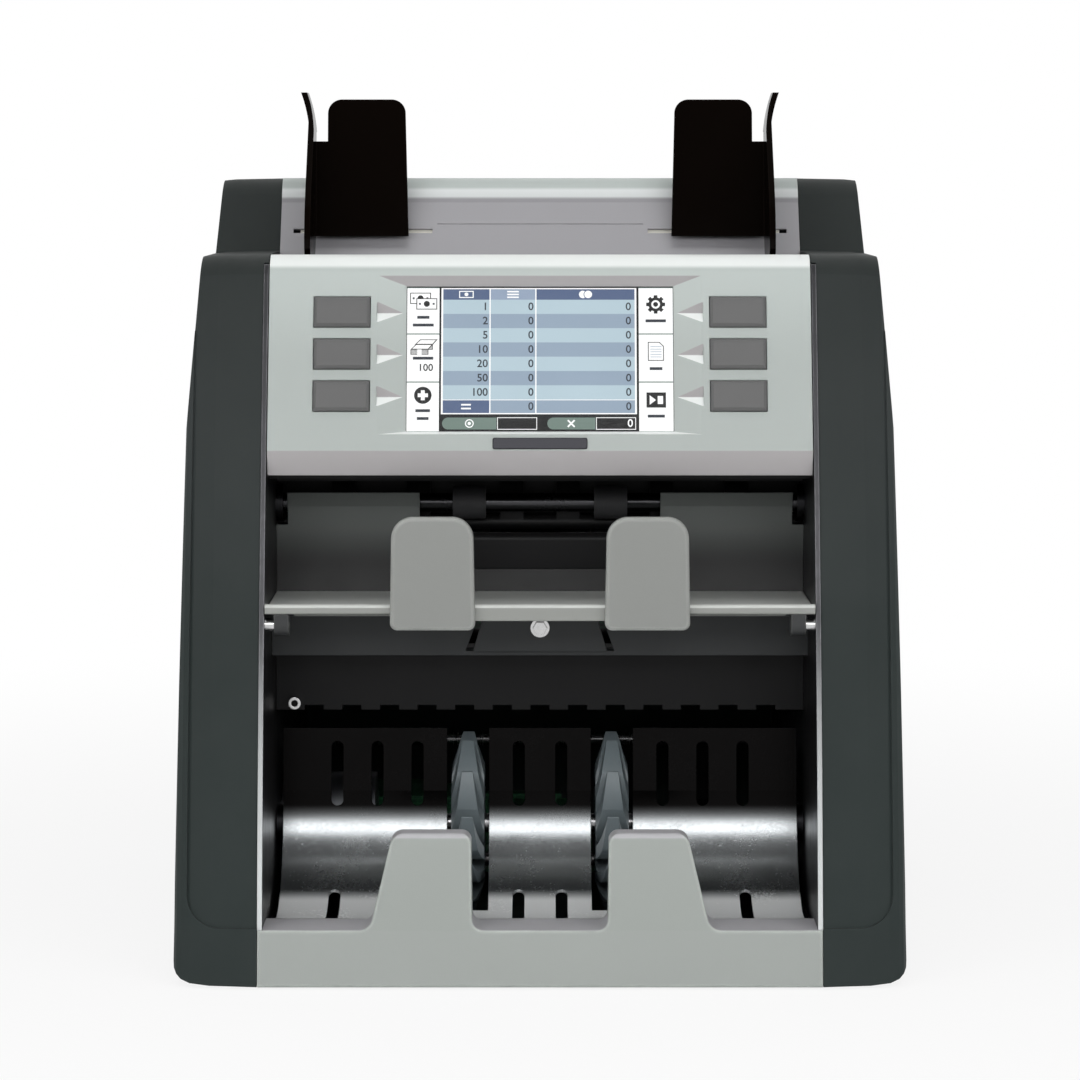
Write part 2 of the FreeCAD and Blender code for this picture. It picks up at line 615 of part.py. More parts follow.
def make_base():
    pan = new_body("pan")
    side, inner = "Places.frame_inner", "Places.frame_inner - Sizes.pan_sheet"
    low, floor = "Sizes.foot_height", "Sizes.foot_height + Sizes.pan_sheet"
    rim = f"{low} + Sizes.pan_flange"
    channel = [(f"-({side})", low), (side, low), (side, rim), (inner, rim), (inner, floor),
               (f"-({inner})", floor), (f"-({inner})", rim), (f"-({side})", rim)]
    start = "Sizes.front_depth"
    pad(pan, sketch_on(pan, "XZ", channel, lift=f"-({start})"),
        f"Sizes.case_depth - Sizes.rear_sheet - ({start})", back=True)
    node("base_pan", pan)

    feet = []
    for number, (x, depth) in enumerate([(-92, "45"), (92, "45"), (-92, "Sizes.case_depth - 40"),
                                         (92, "Sizes.case_depth - 40")]):
        foot = DOC.addObject("Part::Cone", f"foot_{number}")
        bind(foot, Radius1="Sizes.foot_radius - 1", Radius2="Sizes.foot_radius", Height="Sizes.foot_height",
             Placement__Base__x=x, Placement__Base__y=f"{depth} - Places.half_depth")
        feet.append(foot)
    node("rubber_feet", group("feet", feet))

    bars = []
    ties = [("150", "24"), ("Sizes.case_depth - 60", "Sizes.frame_height - 12"),
            ("Sizes.case_depth - 40", "60")]
    for number, (depth, height) in enumerate(ties):
        bars.append(rod(f"tie_bar_{number}", "-Places.frame_inner", depth, height, "3", "Sizes.pocket_width"))
    node("tie_bars", group("bars", bars))


def make_front_cover():
    half = "Places.frame_outer - Sizes.seat_gap"
    base, top, corner = "Sizes.skirt_height", "Sizes.finger_height", "Sizes.finger_round"
    inner, spread = "Sizes.finger_inner", "Sizes.finger_spread"
    outer = "Sizes.finger_inner + Sizes.finger_width"

    def stop(sign):
        """One stop, from its outer foot over its top to its inner foot."""
        x = lambda text: f"{sign} * ({text})"
        points = [
            (x(f"{outer} + {spread} + {corner}"), base),
            (x(f"{outer} + {spread} - 1"), f"{base} + {corner}", "76"),
            (x(f"{outer} + 1"), f"{top} - {corner}"),
            (x(f"{outer} - {corner}"), top, "-76"),
            (x(f"{inner} + {corner}"), top),
            (x(f"{inner} + 0.3"), f"{top} - {corner}", "-88"),
            (x(inner), f"{base} + {corner}"),
            (x(f"{inner} - {corner}"), base, "88"),
        ]
        if sign < 0:
            return points
        turned = [points[-1][:2]]
        for before, after in zip(points[::-1], points[-2::-1]):
            turned.append(after[:2] + ((before[2],) if len(before) > 2 else ()))
        return turned

    face = new_body("front_face")
    pad(face, sketch_on(face, "XZ", [
        (f"-({half})", "Sizes.ground_gap"), (f"-({half})", base), *stop(-1), *stop(1),
        (half, base), (half, "Sizes.ground_gap")]), "Sizes.front_depth", back=True)
    lean = "(Sizes.finger_height - Sizes.skirt_height) * 0.157"
    profile = new_body("front_profile")
    pad(profile, sketch_on(profile, "YZ", [
        ("0", "Sizes.ground_gap"), ("Sizes.skirt_setback", base),
        (f"Sizes.skirt_setback + {lean}", f"{top} - 2"), (f"Sizes.skirt_setback + {lean} + 2.2", top, "-80"),
        ("Sizes.finger_back - 1.5", top), ("Sizes.finger_back", f"{top} - 1.5", "-88"),
        ("Sizes.finger_back + 2.5", base), ("Sizes.front_depth", base),
        ("Sizes.front_depth", "Sizes.ground_gap")]), "Sizes.pocket_width + 40", both=True)
    wall = "Sizes.front_wall"
    hollow = new_body("front_hollow")
    pad(hollow, sketch_on(hollow, "YZ", [
        (wall, "0"), (f"Sizes.skirt_setback + {wall}", f"{base} - {wall}"),
        (f"Sizes.front_depth - {wall}", f"{base} - {wall}"), (f"Sizes.front_depth - {wall}", "0")]),
        f"2 * ({half} - {wall})", both=True)
    node("front_cover", cut("front_shell", common("front_block", face, profile), hollow))


# Stacker: curved sheet-steel plate and the two bladed wheels

def make_stacker_plate():
    body = new_body("plate")
    centre, radius, sheet = "Sizes.plate_centre_depth", "Sizes.plate_radius", "Sizes.plate_sheet"
    axis = f"Places.plate_floor + {radius}"
    start = "Sizes.front_depth"
    drop = lambda r: f"{axis} - sqrt(({r})^2 - (({start}) - {centre})^2)"
    sweep = lambda r: f"90 deg + asin(({centre} - ({start})) / ({r}))"
    outer = f"{radius} + {sheet}"
    pad(body, sketch_on(body, "YZ", [
        (start, drop(radius)), (f"{centre} + {radius}", axis, sweep(radius)),
        (f"{centre} + {radius} + 4", "Sizes.plate_top"), (f"{centre} + {outer} + 4", "Sizes.plate_top"),
        (f"{centre} + {outer}", axis), (start, drop(outer), f"-({sweep(outer)})")]),
        "Sizes.pocket_width - 2 * Sizes.plate_side_gap", both=True)
    half = "Sizes.wheel_width / 2 + Sizes.wheel_slot_gap"
    wheels = [rectangle(f"{sign} * Sizes.wheel_spacing / 2 - ({half})", "Sizes.plate_centre_depth + 9",
                        f"{sign} * Sizes.wheel_spacing / 2 + {half}", "Places.wheel_depth + 10")
              for sign in (-1, 1)]
    pocket(body, sketch_on(body, "XY", *wheels), both=True)
    lower = [slot_x(x, "33", "Sizes.plate_centre_depth + 21", "Sizes.plate_slot") for x in (-86, -9, 9, 86)]
    pocket(body, sketch_on(body, "XY", *lower), both=True)
    upper = [slot_x(x, f"{axis} - 4", "Sizes.plate_top - 8", "Sizes.plate_slot")
             for x in (-86, -69, -52, -9, 9, 52, 69, 86)]
    pocket(body, sketch_on(body, "XZ", *upper), both=True)
    node("stacker_plate", body)


def polar(radius, angle):
    """A point at an angle in degrees, as sketch expressions."""
    return f"({radius}) * cos({angle})", f"({radius}) * sin({angle})"


def wheel(name, sign):
    """A wheel whose blades sweep back.

    Each gap runs from a tip down to the hub and out over the last blade.
    """
    body = new_body(name, "Places.wheel_depth - Places.half_depth", "Sizes.wheel_height")
    bind(body, Placement__Base__x=f"{sign} * Sizes.wheel_spacing / 2")
    half, tip = "Sizes.wheel_width / 2", "Sizes.wheel_tip_width / 2"
    bore, rim = "Sizes.shaft_radius + 0.02", "Sizes.wheel_radius"
    shoulder = f"{rim} - Sizes.wheel_taper"
    section = [(f"-({half})", bore), (half, bore), (half, shoulder), (tip, rim),
               (f"-({tip})", rim), (f"-({half})", shoulder)]
    turned = body.newObject("PartDesign::Revolution", name + "_disc")
    turned.Profile = sketch_on(body, "XY", section)
    turned.ReferenceAxis = (next(f for f in body.Origin.OriginFeatures if f.Role == "X_Axis"), [""])
    turned.Angle = 360
    tip_angle, last_tip = "Sizes.wheel_phase", "Sizes.wheel_phase - 360 / Sizes.wheel_blades"
    root_angle, belly_angle = "Sizes.wheel_phase + 50", "Sizes.wheel_phase - 5"
    past = f"{rim} + 0.5"
    gap = [
        polar(past, tip_angle), (*polar(f"{rim} * 0.384", root_angle), "69"),
        polar(f"{rim} * 0.314", root_angle),
        (*polar(f"{rim} * 0.837", belly_angle), "-63"), (*polar(past, last_tip), "-27"),
        polar(f"{rim} + 5", last_tip), polar(f"{rim} + 5", tip_angle)]
    cutting = pocket(body, sketch_on(body, "YZ", gap), both=True)
    pattern = body.newObject("PartDesign::PolarPattern", name + "_blades")
    pattern.Originals = [cutting]
    pattern.Axis = (next(f for f in body.Origin.OriginFeatures if f.Role == "X_Axis"), [""])
    bind(pattern, Occurrences="Sizes.wheel_blades")
    body.Tip = pattern
    return body


def make_stacker_wheels():
    node("stacker_wheels", group("wheels", [wheel("left_wheel", -1), wheel("right_wheel", 1)]))
    reach = "Places.frame_outer + 14"
    shaft = rod("wheel_shaft", f"-({reach})", "Places.wheel_depth", "Sizes.wheel_height",
                "Sizes.shaft_radius", f"{reach} + Places.frame_outer + 3")
    node("stacker_shaft", shaft)


# Gears, cut from involute outlines

def gear(name, teeth, x, depth, height, bore, turn=0):
    """A spur gear about X; turn sets its teeth in mesh."""
    wire = FCWireBuilder()
    involute.CreateExternalGear(wire, value("Sizes.gear_module"), int(value(teeth)), 20)
    outline = Part.Wire([edge.toShape() for edge in wire.wire])
    width = value("Sizes.gear_width")
    solid = Part.Face(outline).extrude(Vector(0, 0, width))
    solid = solid.cut(Part.makeCylinder(value(bore), width))
    thing = DOC.addObject("Part::Feature", name)
    thing.Shape = solid
    facing = Rotation(Vector(0, 0, 1), Vector(1, 0, 0)).multiply(Rotation(Vector(0, 0, 1), turn))
    place = Vector(value(x), value(depth) - value("Places.half_depth"), value(height))
    thing.Placement = Placement(place, facing)
    return thing


def make_stacker_gears():
    side = "-Places.frame_outer - 3 - Sizes.gear_width"
    teeth, small = int(value("Sizes.stacker_gear_teeth")), int(value("Sizes.stacker_pinion_teeth"))
    big = gear("wheel_gear", teeth, side, "Places.wheel_depth", "Sizes.wheel_height",
               "Sizes.shaft_radius + 0.02")
    pinion = gear("motor_gear", small, side, "Places.stacker_motor_depth", "Sizes.wheel_height", "2.5",
                  180 / small)
    return big, pinion


# Shafts with their rollers, pulleys and bearings

def roller_pair(name, depth, height, radius, width):
    bore = "Sizes.shaft_radius + 0.02"
    return [ring(f"{name}_{side}", f"{sign} * Sizes.roller_spacing / 2 - ({width}) / 2", depth, height,
                 radius, bore, width) for side, sign in (("left", -1), ("right", 1))]


def pulley(name, x, depth, height, radius):
    """A pulley between two thin flanges, bored for its shaft."""
    flange = f"{radius} + Sizes.belt_thickness"
    solid = fuse(name + "_solid", [
        rod(name + "_drum", x, depth, height, radius, "Sizes.belt_width + 1"),
        rod(name + "_inner_flange", f"{x} - 1", depth, height, flange, "1"),
        rod(name + "_outer_flange", f"{x} + Sizes.belt_width + 1", depth, height, flange, "1")])
    return cut(name, solid, rod(name + "_bore", f"{x} - 2", depth, height, "Sizes.shaft_radius + 0.02",
                                "Sizes.belt_width + 5"))


INNER_BELT = "Places.frame_outer + 4"
OUTER_BELT = "Places.frame_outer + 14"
LEFT_BELT = "-Places.frame_outer - 5 - Sizes.belt_width"


def make_rollers():
    long_end, short_end = "Places.frame_outer + 23", "Places.frame_outer + 3"
    bearings = []

    def shaft(name, depth, height, left, right):
        sides = (("left", "-Places.frame_outer"), ("right", "Places.frame_outer - Sizes.bearing_width"))
        for side, x in sides:
            bearings.append(ring(f"{name}_{side}_bearing", x, depth, height, "Sizes.bearing_radius",
                                 "Sizes.shaft_radius + Sizes.run_gap", "Sizes.bearing_width"))
        return rod(name, f"-({left})", depth, height, "Sizes.shaft_radius", f"({left}) + ({right})")

    depth = "Places.roller_depth"
    feed = shaft("feed_shaft", depth, "Places.feed_height", "Places.frame_outer + 13", long_end)
    feed_pulleys = [pulley("feed_pulley", OUTER_BELT, depth, "Places.feed_height", "Sizes.pulley_radius"),
                    pulley("feed_left_pulley", LEFT_BELT, depth, "Places.feed_height",
                           "Sizes.pickup_pulley_radius")]
    node("feed_rollers", group("feed_set", [feed, *feed_pulleys, *roller_pair(
        "feed_roller", depth, "Places.feed_height", "Sizes.roller_radius", "Sizes.roller_width")]))

    upper = shaft("upper_shaft", depth, "Sizes.upper_height", short_end, long_end)
    upper_pulleys = [pulley("upper_outer_pulley", OUTER_BELT, depth, "Sizes.upper_height",
                            "Sizes.pulley_radius"),
                     pulley("upper_inner_pulley", INNER_BELT, depth, "Sizes.upper_height",
                            "Sizes.pulley_radius")]
    node("upper_transport_rollers", group("upper_set", [upper, *upper_pulleys, *roller_pair(
        "upper_roller", depth, "Sizes.upper_height", "Sizes.roller_radius", "Sizes.roller_width")]))

    lower = shaft("lower_shaft", depth, "Sizes.lower_height", short_end, long_end)
    lower_pulley = pulley("lower_pulley", OUTER_BELT, depth, "Sizes.lower_height", "Sizes.pulley_radius")
    node("lower_transport_rollers", group("lower_set", [lower, lower_pulley, *roller_pair(
        "lower_roller", depth, "Sizes.lower_height", "Sizes.roller_radius", "Sizes.roller_width")]))

    pickup = shaft("pickup_shaft", "Places.pickup_depth", "Places.pickup_height", "Places.frame_outer + 13",
                   short_end)
    pickup_pulley = pulley("pickup_pulley", LEFT_BELT, "Places.pickup_depth", "Places.pickup_height",
                           "Sizes.pickup_pulley_radius")
    node("pickup_rollers", group("pickup_set", [pickup, pickup_pulley, *roller_pair(
        "pickup_roller", "Places.pickup_depth", "Places.pickup_height", "Sizes.pickup_radius",
        "Sizes.roller_width - 2")]))

    leaving = shaft("exit_shaft", "Sizes.exit_depth", "Sizes.exit_height", short_end, short_end)
    node("exit_rollers", group("exit_set", [leaving, *roller_pair(
        "exit_roller", "Sizes.exit_depth", "Sizes.exit_height", "Sizes.exit_radius",
        "Sizes.roller_width - 2")]))

    shaft("wheel_bearing", "Places.wheel_depth", "Sizes.wheel_height", short_end, short_end)
    node("shaft_bearings", group("bearing_set", bearings))

    retard = rod("retard_shaft", "-Places.frame_outer", "Places.retard_depth", "Places.retard_height",
                 "Sizes.shaft_radius", "2 * Places.frame_outer")
    node("retard_rollers", group("retard_set", [retard, *roller_pair(
        "retard_roller", "Places.retard_depth", "Places.retard_height", "Sizes.retard_radius",
        "Sizes.roller_width")]))


def belt(name, x, first, second):
    """A flat belt round two pulleys, each given as depth, height and radius."""
    half_depth = value("Places.half_depth")
    spots = [(Vector(0, value(d) - half_depth, value(h)), value(r) + value("Sizes.belt_gap"))
             for d, h, r in (first, second)]

    def loop(extra):
        (a, ra), (b, rb) = [(centre, radius + extra) for centre, radius in spots]
        line = (b - a)
        lean = math.acos((ra - rb) / line.Length)
        heading = math.atan2(line.z, line.y)
        point = lambda c, r, angle: c + Vector(0, r * math.cos(angle), r * math.sin(angle))
        left, right = heading + lean, heading - lean
        edges = [
            Part.LineSegment(point(a, ra, right), point(b, rb, right)),
            Part.Arc(point(b, rb, right), point(b, rb, heading), point(b, rb, left)),
            Part.LineSegment(point(b, rb, left), point(a, ra, left)),
            Part.Arc(point(a, ra, left), point(a, ra, heading + math.pi), point(a, ra, right))]
        return Part.Face(Part.Wire([edge.toShape() for edge in edges]))

    width = Vector(value("Sizes.belt_width"), 0, 0)
    thing = DOC.addObject("Part::Feature", name)
    thing.Shape = loop(value("Sizes.belt_thickness")).extrude(width).cut(loop(0).extrude(width))
    thing.Placement = Placement(Vector(value(x), 0, 0), Rotation())
    return thing


def make_drive():
    depth = "Places.roller_depth"
    low_pulley = (depth, "Sizes.lower_height", "Sizes.pulley_radius")
    upper_pulley = (depth, "Sizes.upper_height", "Sizes.pulley_radius")
    feed_pulley = (depth, "Places.feed_height", "Sizes.pulley_radius")
    left_pulley = (depth, "Places.feed_height", "Sizes.pickup_pulley_radius")
    pickup_pulley = ("Places.pickup_depth", "Places.pickup_height", "Sizes.pickup_pulley_radius")
    motor_pulley = ("Sizes.motor_depth", "Sizes.motor_height", "Sizes.motor_pulley_radius")
    node("transport_belt", belt("belt_outer", f"{OUTER_BELT} + 0.5", low_pulley, feed_pulley))
    node("drive_belt", belt("belt_inner", f"{INNER_BELT} + 0.5", upper_pulley, motor_pulley))
    node("pickup_belt", belt("belt_left", f"{LEFT_BELT} + 0.5", left_pulley, pickup_pulley))

    spot = ("Sizes.motor_depth", "Sizes.motor_height")
    can = [rod("motor_can", "Places.frame_inner - 52", *spot, "Sizes.motor_radius", "49"),
           rod("motor_flange", "Places.frame_inner - 3", *spot, "Sizes.motor_radius - 4", "3"),
           rod("motor_boss", "Places.frame_inner - 56", *spot, "6", "4")]
    node("main_motor", fuse("motor_body", can))
    node("motor_pulley", fuse("motor_pulley_set", [
        rod("motor_shaft", "Places.frame_inner + 0.3", *spot, "Sizes.shaft_radius", "18"),
        rod("motor_drum", INNER_BELT, *spot, "Sizes.motor_pulley_radius", "Sizes.belt_width + 1")]))

    spot = ("Places.stacker_motor_depth", "Sizes.wheel_height")
    node("stacker_motor", fuse("stacker_motor_body", [
        rod("stacker_can", "-Places.frame_inner + 3", *spot, "17", "38"),
        rod("stacker_flange", "-Places.frame_inner", *spot, "12", "3")]))
    big, small = make_stacker_gears()
    node("stacker_gear", big)
    axle = rod("stacker_motor_axle", "-Places.frame_outer - 4 - Sizes.gear_width", *spot, "2.5",
               "Sizes.frame_sheet + Sizes.gear_width + 3.7")
    node("stacker_pinion", group("stacker_pinion_set", [fuse("stacker_pinion_gear", [small, axle])]))


# Hopper: one moulding from the feed throat up the hopper plate, over the roof and down to the back

def make_hopper():
    body = new_body("hopper")
    wall, half = "Sizes.hopper_wall", "Places.frame_inner + 1"
    tilt = "Sizes.hopper_angle"
    run = lambda s, n: (f"Places.hopper_depth + ({s}) * cos({tilt}) - ({n}) * sin({tilt})",
                        f"Places.hopper_foot + ({s}) * sin({tilt}) + ({n}) * cos({tilt})")
    roof, back = "Places.case_height - 0.2", "Sizes.case_depth - Sizes.rear_sheet"
    corner = "Sizes.rear_round - 4"
    profile = [
        run("0", f"-({wall})"), run("0", "0"), run("Sizes.hopper_length - 6", "0"),
        (f"{run('Sizes.hopper_length', '0')[0]} + 5", roof, "Sizes.hopper_angle * -1 + 2"),
        (f"{back} - {corner}", f"{roof} - Sizes.tail_drop + 2"),
        (back, f"{roof} - Sizes.tail_drop + 2 - {corner}", "-87"),
        (back, "Places.rear_top + Sizes.seat_gap"),
        (f"{back} - {wall}", "Places.rear_top + Sizes.seat_gap"),
        (f"{back} - {wall}", f"{roof} - Sizes.tail_drop + 2 - {corner}"),
        (f"{back} - {corner}", f"{roof} - Sizes.tail_drop + 2 - {wall}", "87"),
        (f"{run('Sizes.hopper_length', '0')[0]} + 7", f"{roof} - {wall}"),
        run("Sizes.hopper_length - 7", f"-({wall})"),
    ]
    pad(body, sketch_on(body, "YZ", profile), "Sizes.pocket_width", both=True)
    tools = hopper_body("hopper_cuts")
    reach = "Sizes.pickup_radius * 0.82"
    windows = [rectangle(f"{sign} * Sizes.roller_spacing / 2 - Sizes.roller_width / 2 - 1",
                         f"Sizes.pickup_run - {reach}",
                         f"{sign} * Sizes.roller_spacing / 2 + Sizes.roller_width / 2 + 1",
                         f"Sizes.pickup_run + {reach}") for sign in (-1, 1)]
    slots = [rectangle(*guide_slot(sign)) for sign in (-1, 1)]
    notch = "Sizes.bearing_radius + 1"
    edges = ("Places.frame_inner - Sizes.bearing_width", "Places.frame_inner + 2")
    ends = [rectangle(low, f"Sizes.pickup_run - ({notch})", high, f"Sizes.pickup_run + {notch}")
            for low, high in (edges, (f"-({edges[1]})", f"-({edges[0]})"))]
    pad(tools, sketch_on(tools, "XY", *windows, *slots, *ends), "4 * Sizes.hopper_wall", both=True)
    groove = hopper_body("hopper_step")
    step = rectangle("-Sizes.step_half", "Sizes.step_run - Sizes.step_sink", "Sizes.step_half",
                     "Sizes.step_run + Sizes.step_sink")
    pad(groove, sketch_on(groove, "XY", step, lift="-Sizes.step_sink"), "2")
    runs = hopper_body("hopper_strip_runs")
    low = "Sizes.guide_slot_run - 1.5 * Sizes.guide_slot"
    high = "Sizes.guide_slot_run + 1.5 * Sizes.guide_slot"
    strip_end = "Sizes.guide_reach - Sizes.guide_stem - 2 * Sizes.guide_inward - 9.5"
    beds = [rectangle(f"-({half})", low, f"-({strip_end})", high), rectangle(strip_end, low, half, high)]
    pad(runs, sketch_on(runs, "XY", *beds, lift="-2 * Sizes.hopper_wall"),
        "2 * Sizes.hopper_wall - Sizes.slot_lip")
    node("hopper_cover", cut("hopper_moulding", body, fuse("hopper_openings", [tools, groove, runs])))

    throat = new_body("throat")
    front = "Places.hinge_depth + 11.5"
    foot = "Sizes.path_depth - 13"
    pad(throat, sketch_on(throat, "YZ", [
        (front, "Places.hinge_height + 3"), (foot, "Places.retard_height + 13"),
        (f"{foot} + 2", "Places.retard_height + 14"), (f"{front} + 2", "Places.hinge_height + 4")]),
        "Sizes.pocket_width", both=True)
    node("throat_guide", throat)


def guide_slot(sign):
    """Corners of one guide's slot in the hopper plate."""
    outer = "Sizes.guide_reach + Sizes.guide_outward + 2"
    inner = "Sizes.guide_reach - Sizes.guide_stem - Sizes.guide_inward - 2"
    low, high = ("Sizes.guide_slot_run - Sizes.guide_slot / 2", "Sizes.guide_slot_run + Sizes.guide_slot / 2")
    first, last = (f"-({outer})", f"-({inner})") if sign < 0 else (inner, outer)
    return first, low, last, high


# Note guides: smoked L-shaped plates that slide along the hopper, tied by two racks and a pinion

def make_guides():
    wall, reach = "Sizes.guide_wall", "Sizes.guide_reach"
    lean = "tan(Sizes.guide_lean)"
    foot, top, depth = "Places.guide_foot", "Places.guide_top", "Places.guide_depth"

    back = new_body("guide_back")
    rise = f"({top} - ({foot})) * {lean}"
    pad(back, sketch_on(back, "YZ", [
        (depth, foot), (f"{depth} + {rise}", top), (f"{depth} + {rise} + {wall}", top),
        (f"{depth} + {wall}", foot)], lift=f"-({reach})"), "Sizes.guide_width")
    notch = new_body("guide_outline")
    pad(notch, sketch_on(notch, "XZ", [
        (f"-({reach})", f"{foot} - 1"), (f"-({reach})", f"{top} - 18"), (f"-({reach}) + 5", f"{top} - 18"),
        (f"-({reach}) + 5", f"{top} - 6"), (f"-({reach}) + 11", top, "-90"),
        (f"-({reach}) + Sizes.guide_width - 7.5", top),
        (f"-({reach}) + Sizes.guide_width - 1.5", f"{top} - 6", "-90"),
        (f"-({reach}) + Sizes.guide_width", f"{foot} - 1")], lift="-60"), "160", back=True)

    side = new_body("guide_side")
    run = "38"
    slope = "tan(Sizes.hopper_angle)"
    pad(side, sketch_on(side, "YZ", [
        (f"{depth} + {wall}", foot), (f"{depth} - {run} * 0.45", f"{foot} - {run} * 0.45 * {slope} * 0.98"),
        (f"{depth} - {run}", f"{foot} - {run} * 0.12"),
        (f"{depth} - {run} * 0.75", f"{foot} + {run} * 0.5", "-30"),
        (f"{depth} + {rise} - 6", f"{top} + 3"), (f"{depth} + {rise} + {wall}", f"{top} + 3"),
    ], lift=f"-({reach}) - {wall}"), wall)
    flare = new_body("guide_flare")
    pad(flare, sketch_on(flare, "XZ", [
        (f"-({reach}) - {wall}", f"{top} - 14"), (f"-({reach}) - {wall} - 3.5", f"{top} + 2.8", "16"),
        (f"-({reach}) - 3.3", f"{top} + 2.8"), (f"-({reach})", f"{top} - 14", "-16")],
        lift=f"-({depth} + {rise} - 10)"), f"10 + {wall}", back=True)

    stem = hopper_body("guide_stem")
    pad(stem, sketch_on(stem, "XY", rectangle(
        f"-({reach})", "Sizes.guide_slot_run - Sizes.guide_slot / 2 + Sizes.fit_gap",
        f"-({reach}) + Sizes.guide_stem", "Sizes.guide_slot_run + Sizes.guide_slot / 2 - Sizes.fit_gap"),
        lift="-Sizes.rack_sink"), "Sizes.rack_sink + 6")
    left = fuse("left_guide_solid", [common("left_back_plate", back, notch), side, flare, stem])
    node("left_note_guide", left)
    node("right_note_guide", mirror("right_guide_solid", left))


def rack(name, sign):
    """A bar with teeth towards the pinion, the left one above it and the right one below.

    An arm carries the guide's stem, and two strips on it close the slot on both sides of the stem.
    """
    body = hopper_body(name)
    pitch_line = f"Places.pinion_run - {sign} * (Places.pinion_pitch + Sizes.gear_gap)"
    root = f"{pitch_line} - {sign} * 1.25 * Sizes.gear_module"
    spine = f"{root} - {sign} * 2.2"
    x = lambda text: f"{sign} * (Sizes.guide_reach + {text})"
    low, high = "Sizes.guide_slot_run - Sizes.guide_slot", "Sizes.guide_slot_run + Sizes.guide_slot"
    past = f"-{sign} * (Sizes.guide_outward + 8)"
    bottom, thick = "-Sizes.rack_sink - Sizes.rack_thickness", "Sizes.rack_thickness"
    post_outer, post_inner = x("3"), x("-Sizes.guide_stem - 4")
    pad(body, sketch_on(body, "XY", [(post_outer, root), (past, root), (past, spine), (post_outer, spine)],
                        lift=bottom), thick)
    arm_low = spine if sign > 0 else low
    arm_high = high if sign > 0 else spine
    pad(body, sketch_on(body, "XY", [(post_outer, arm_low), (post_inner, arm_low), (post_inner, arm_high),
                                     (post_outer, arm_high)], lift=bottom), thick)
    under = "-Sizes.slot_lip - Sizes.fit_gap"
    stem_outer, stem_inner = x("0.2"), x("-Sizes.guide_stem - 0.2")
    strip_outer, strip_inner = x("7"), x("-Sizes.guide_stem - Sizes.guide_inward - 8")
    for near, post, far in ((stem_outer, post_outer, strip_outer), (stem_inner, post_inner, strip_inner)):
        pad(body, sketch_on(body, "XY", [(near, low), (post, low), (post, high), (near, high)],
                            lift="-Sizes.rack_sink"), f"Sizes.rack_sink + ({under})")
        pad(body, sketch_on(body, "XY", [(near, low), (far, low), (far, high), (near, high)],
                            lift=f"{under} - Sizes.shutter_sheet"), "Sizes.shutter_sheet")
    return body


def make_guide_racks():
    module = "Sizes.gear_module"
    pitch = f"pi * {module}"
    for label, sign in (("left_rack", -1), ("right_rack", 1)):
        body = rack(label + "_bar", sign)
        pitch_line = f"Places.pinion_run - {sign} * (Places.pinion_pitch + Sizes.gear_gap)"
        low, high = f"{pitch_line} - {sign} * 1.3 * {module}", f"{pitch_line} + {sign} * {module}"
        half_root = f"{module} * (pi / 4 + 1.25 * tan(20))"
        half_tip = f"{module} * (pi / 4 - tan(20))"
        centre = f"-{sign} * {pitch} * floor((Sizes.guide_outward + 5) / ({pitch}))"
        tooth = [(f"{centre} - {half_root}", low), (f"{centre} + {half_root}", low),
                 (f"{centre} + {half_tip}", high), (f"{centre} - {half_tip}", high)]
        first = pad(body, sketch_on(body, "XY", tooth, lift="-Sizes.rack_sink - Sizes.rack_thickness"),
                    "Sizes.rack_thickness")
        DOC.recompute()
        row = body.newObject("PartDesign::LinearPattern", label + "_teeth")
        row.Originals = [first]
        row.Direction = (next(f for f in body.Origin.OriginFeatures if f.Role == "X_Axis"), [""])
        row.Reversed = sign < 0
        count = "floor((Sizes.guide_outward + Sizes.guide_inward + 14) / (pi * Sizes.gear_module))"
        bind(row, Length=f"({count} - 1) * {pitch}", Occurrences=count)
        body.Tip = row
        node(label, body)


def make_guide_pinion():
    teeth = int(value("Sizes.guide_pinion_teeth"))
    wire = FCWireBuilder()
    involute.CreateExternalGear(wire, value("Sizes.gear_module"), teeth, 20)
    outline = Part.Wire([edge.toShape() for edge in wire.wire])
    thing = DOC.addObject("Part::Feature", "pinion")
    thickness = value("Sizes.rack_thickness")
    solid = Part.Face(outline).extrude(Vector(0, 0, thickness))
    solid = solid.cut(Part.makeCylinder(2.5 + value("Sizes.run_gap"), thickness))
    thing.Shape = solid
    frame = Placement(Vector(0, value("Places.hopper_depth - Places.half_depth"), value("Places.hopper_foot")),
                      Rotation(Vector(1, 0, 0), value("Sizes.hopper_angle")))
    half_tooth = 180 / teeth
    sink = value("Sizes.rack_sink") + thickness
    spin = Placement(Vector(0, value("Places.pinion_run"), -sink), Rotation(Vector(0, 0, 1), 90 + half_tooth))
    thing.Placement = frame.multiply(spin)
    node("guide_pinion", thing)
    post = hopper_body("pinion_post")
    pad(post, sketch_on(post, "XY", circles=[("0", "Places.pinion_run", "2.5")],
                        lift="-Sizes.rack_sink - Sizes.rack_thickness - 2"),
        "Sizes.rack_sink + Sizes.rack_thickness + 2 - Sizes.hopper_wall")
    return post


# Control panel: a leaning bezel with a screen, a circuit board behind it and six keys

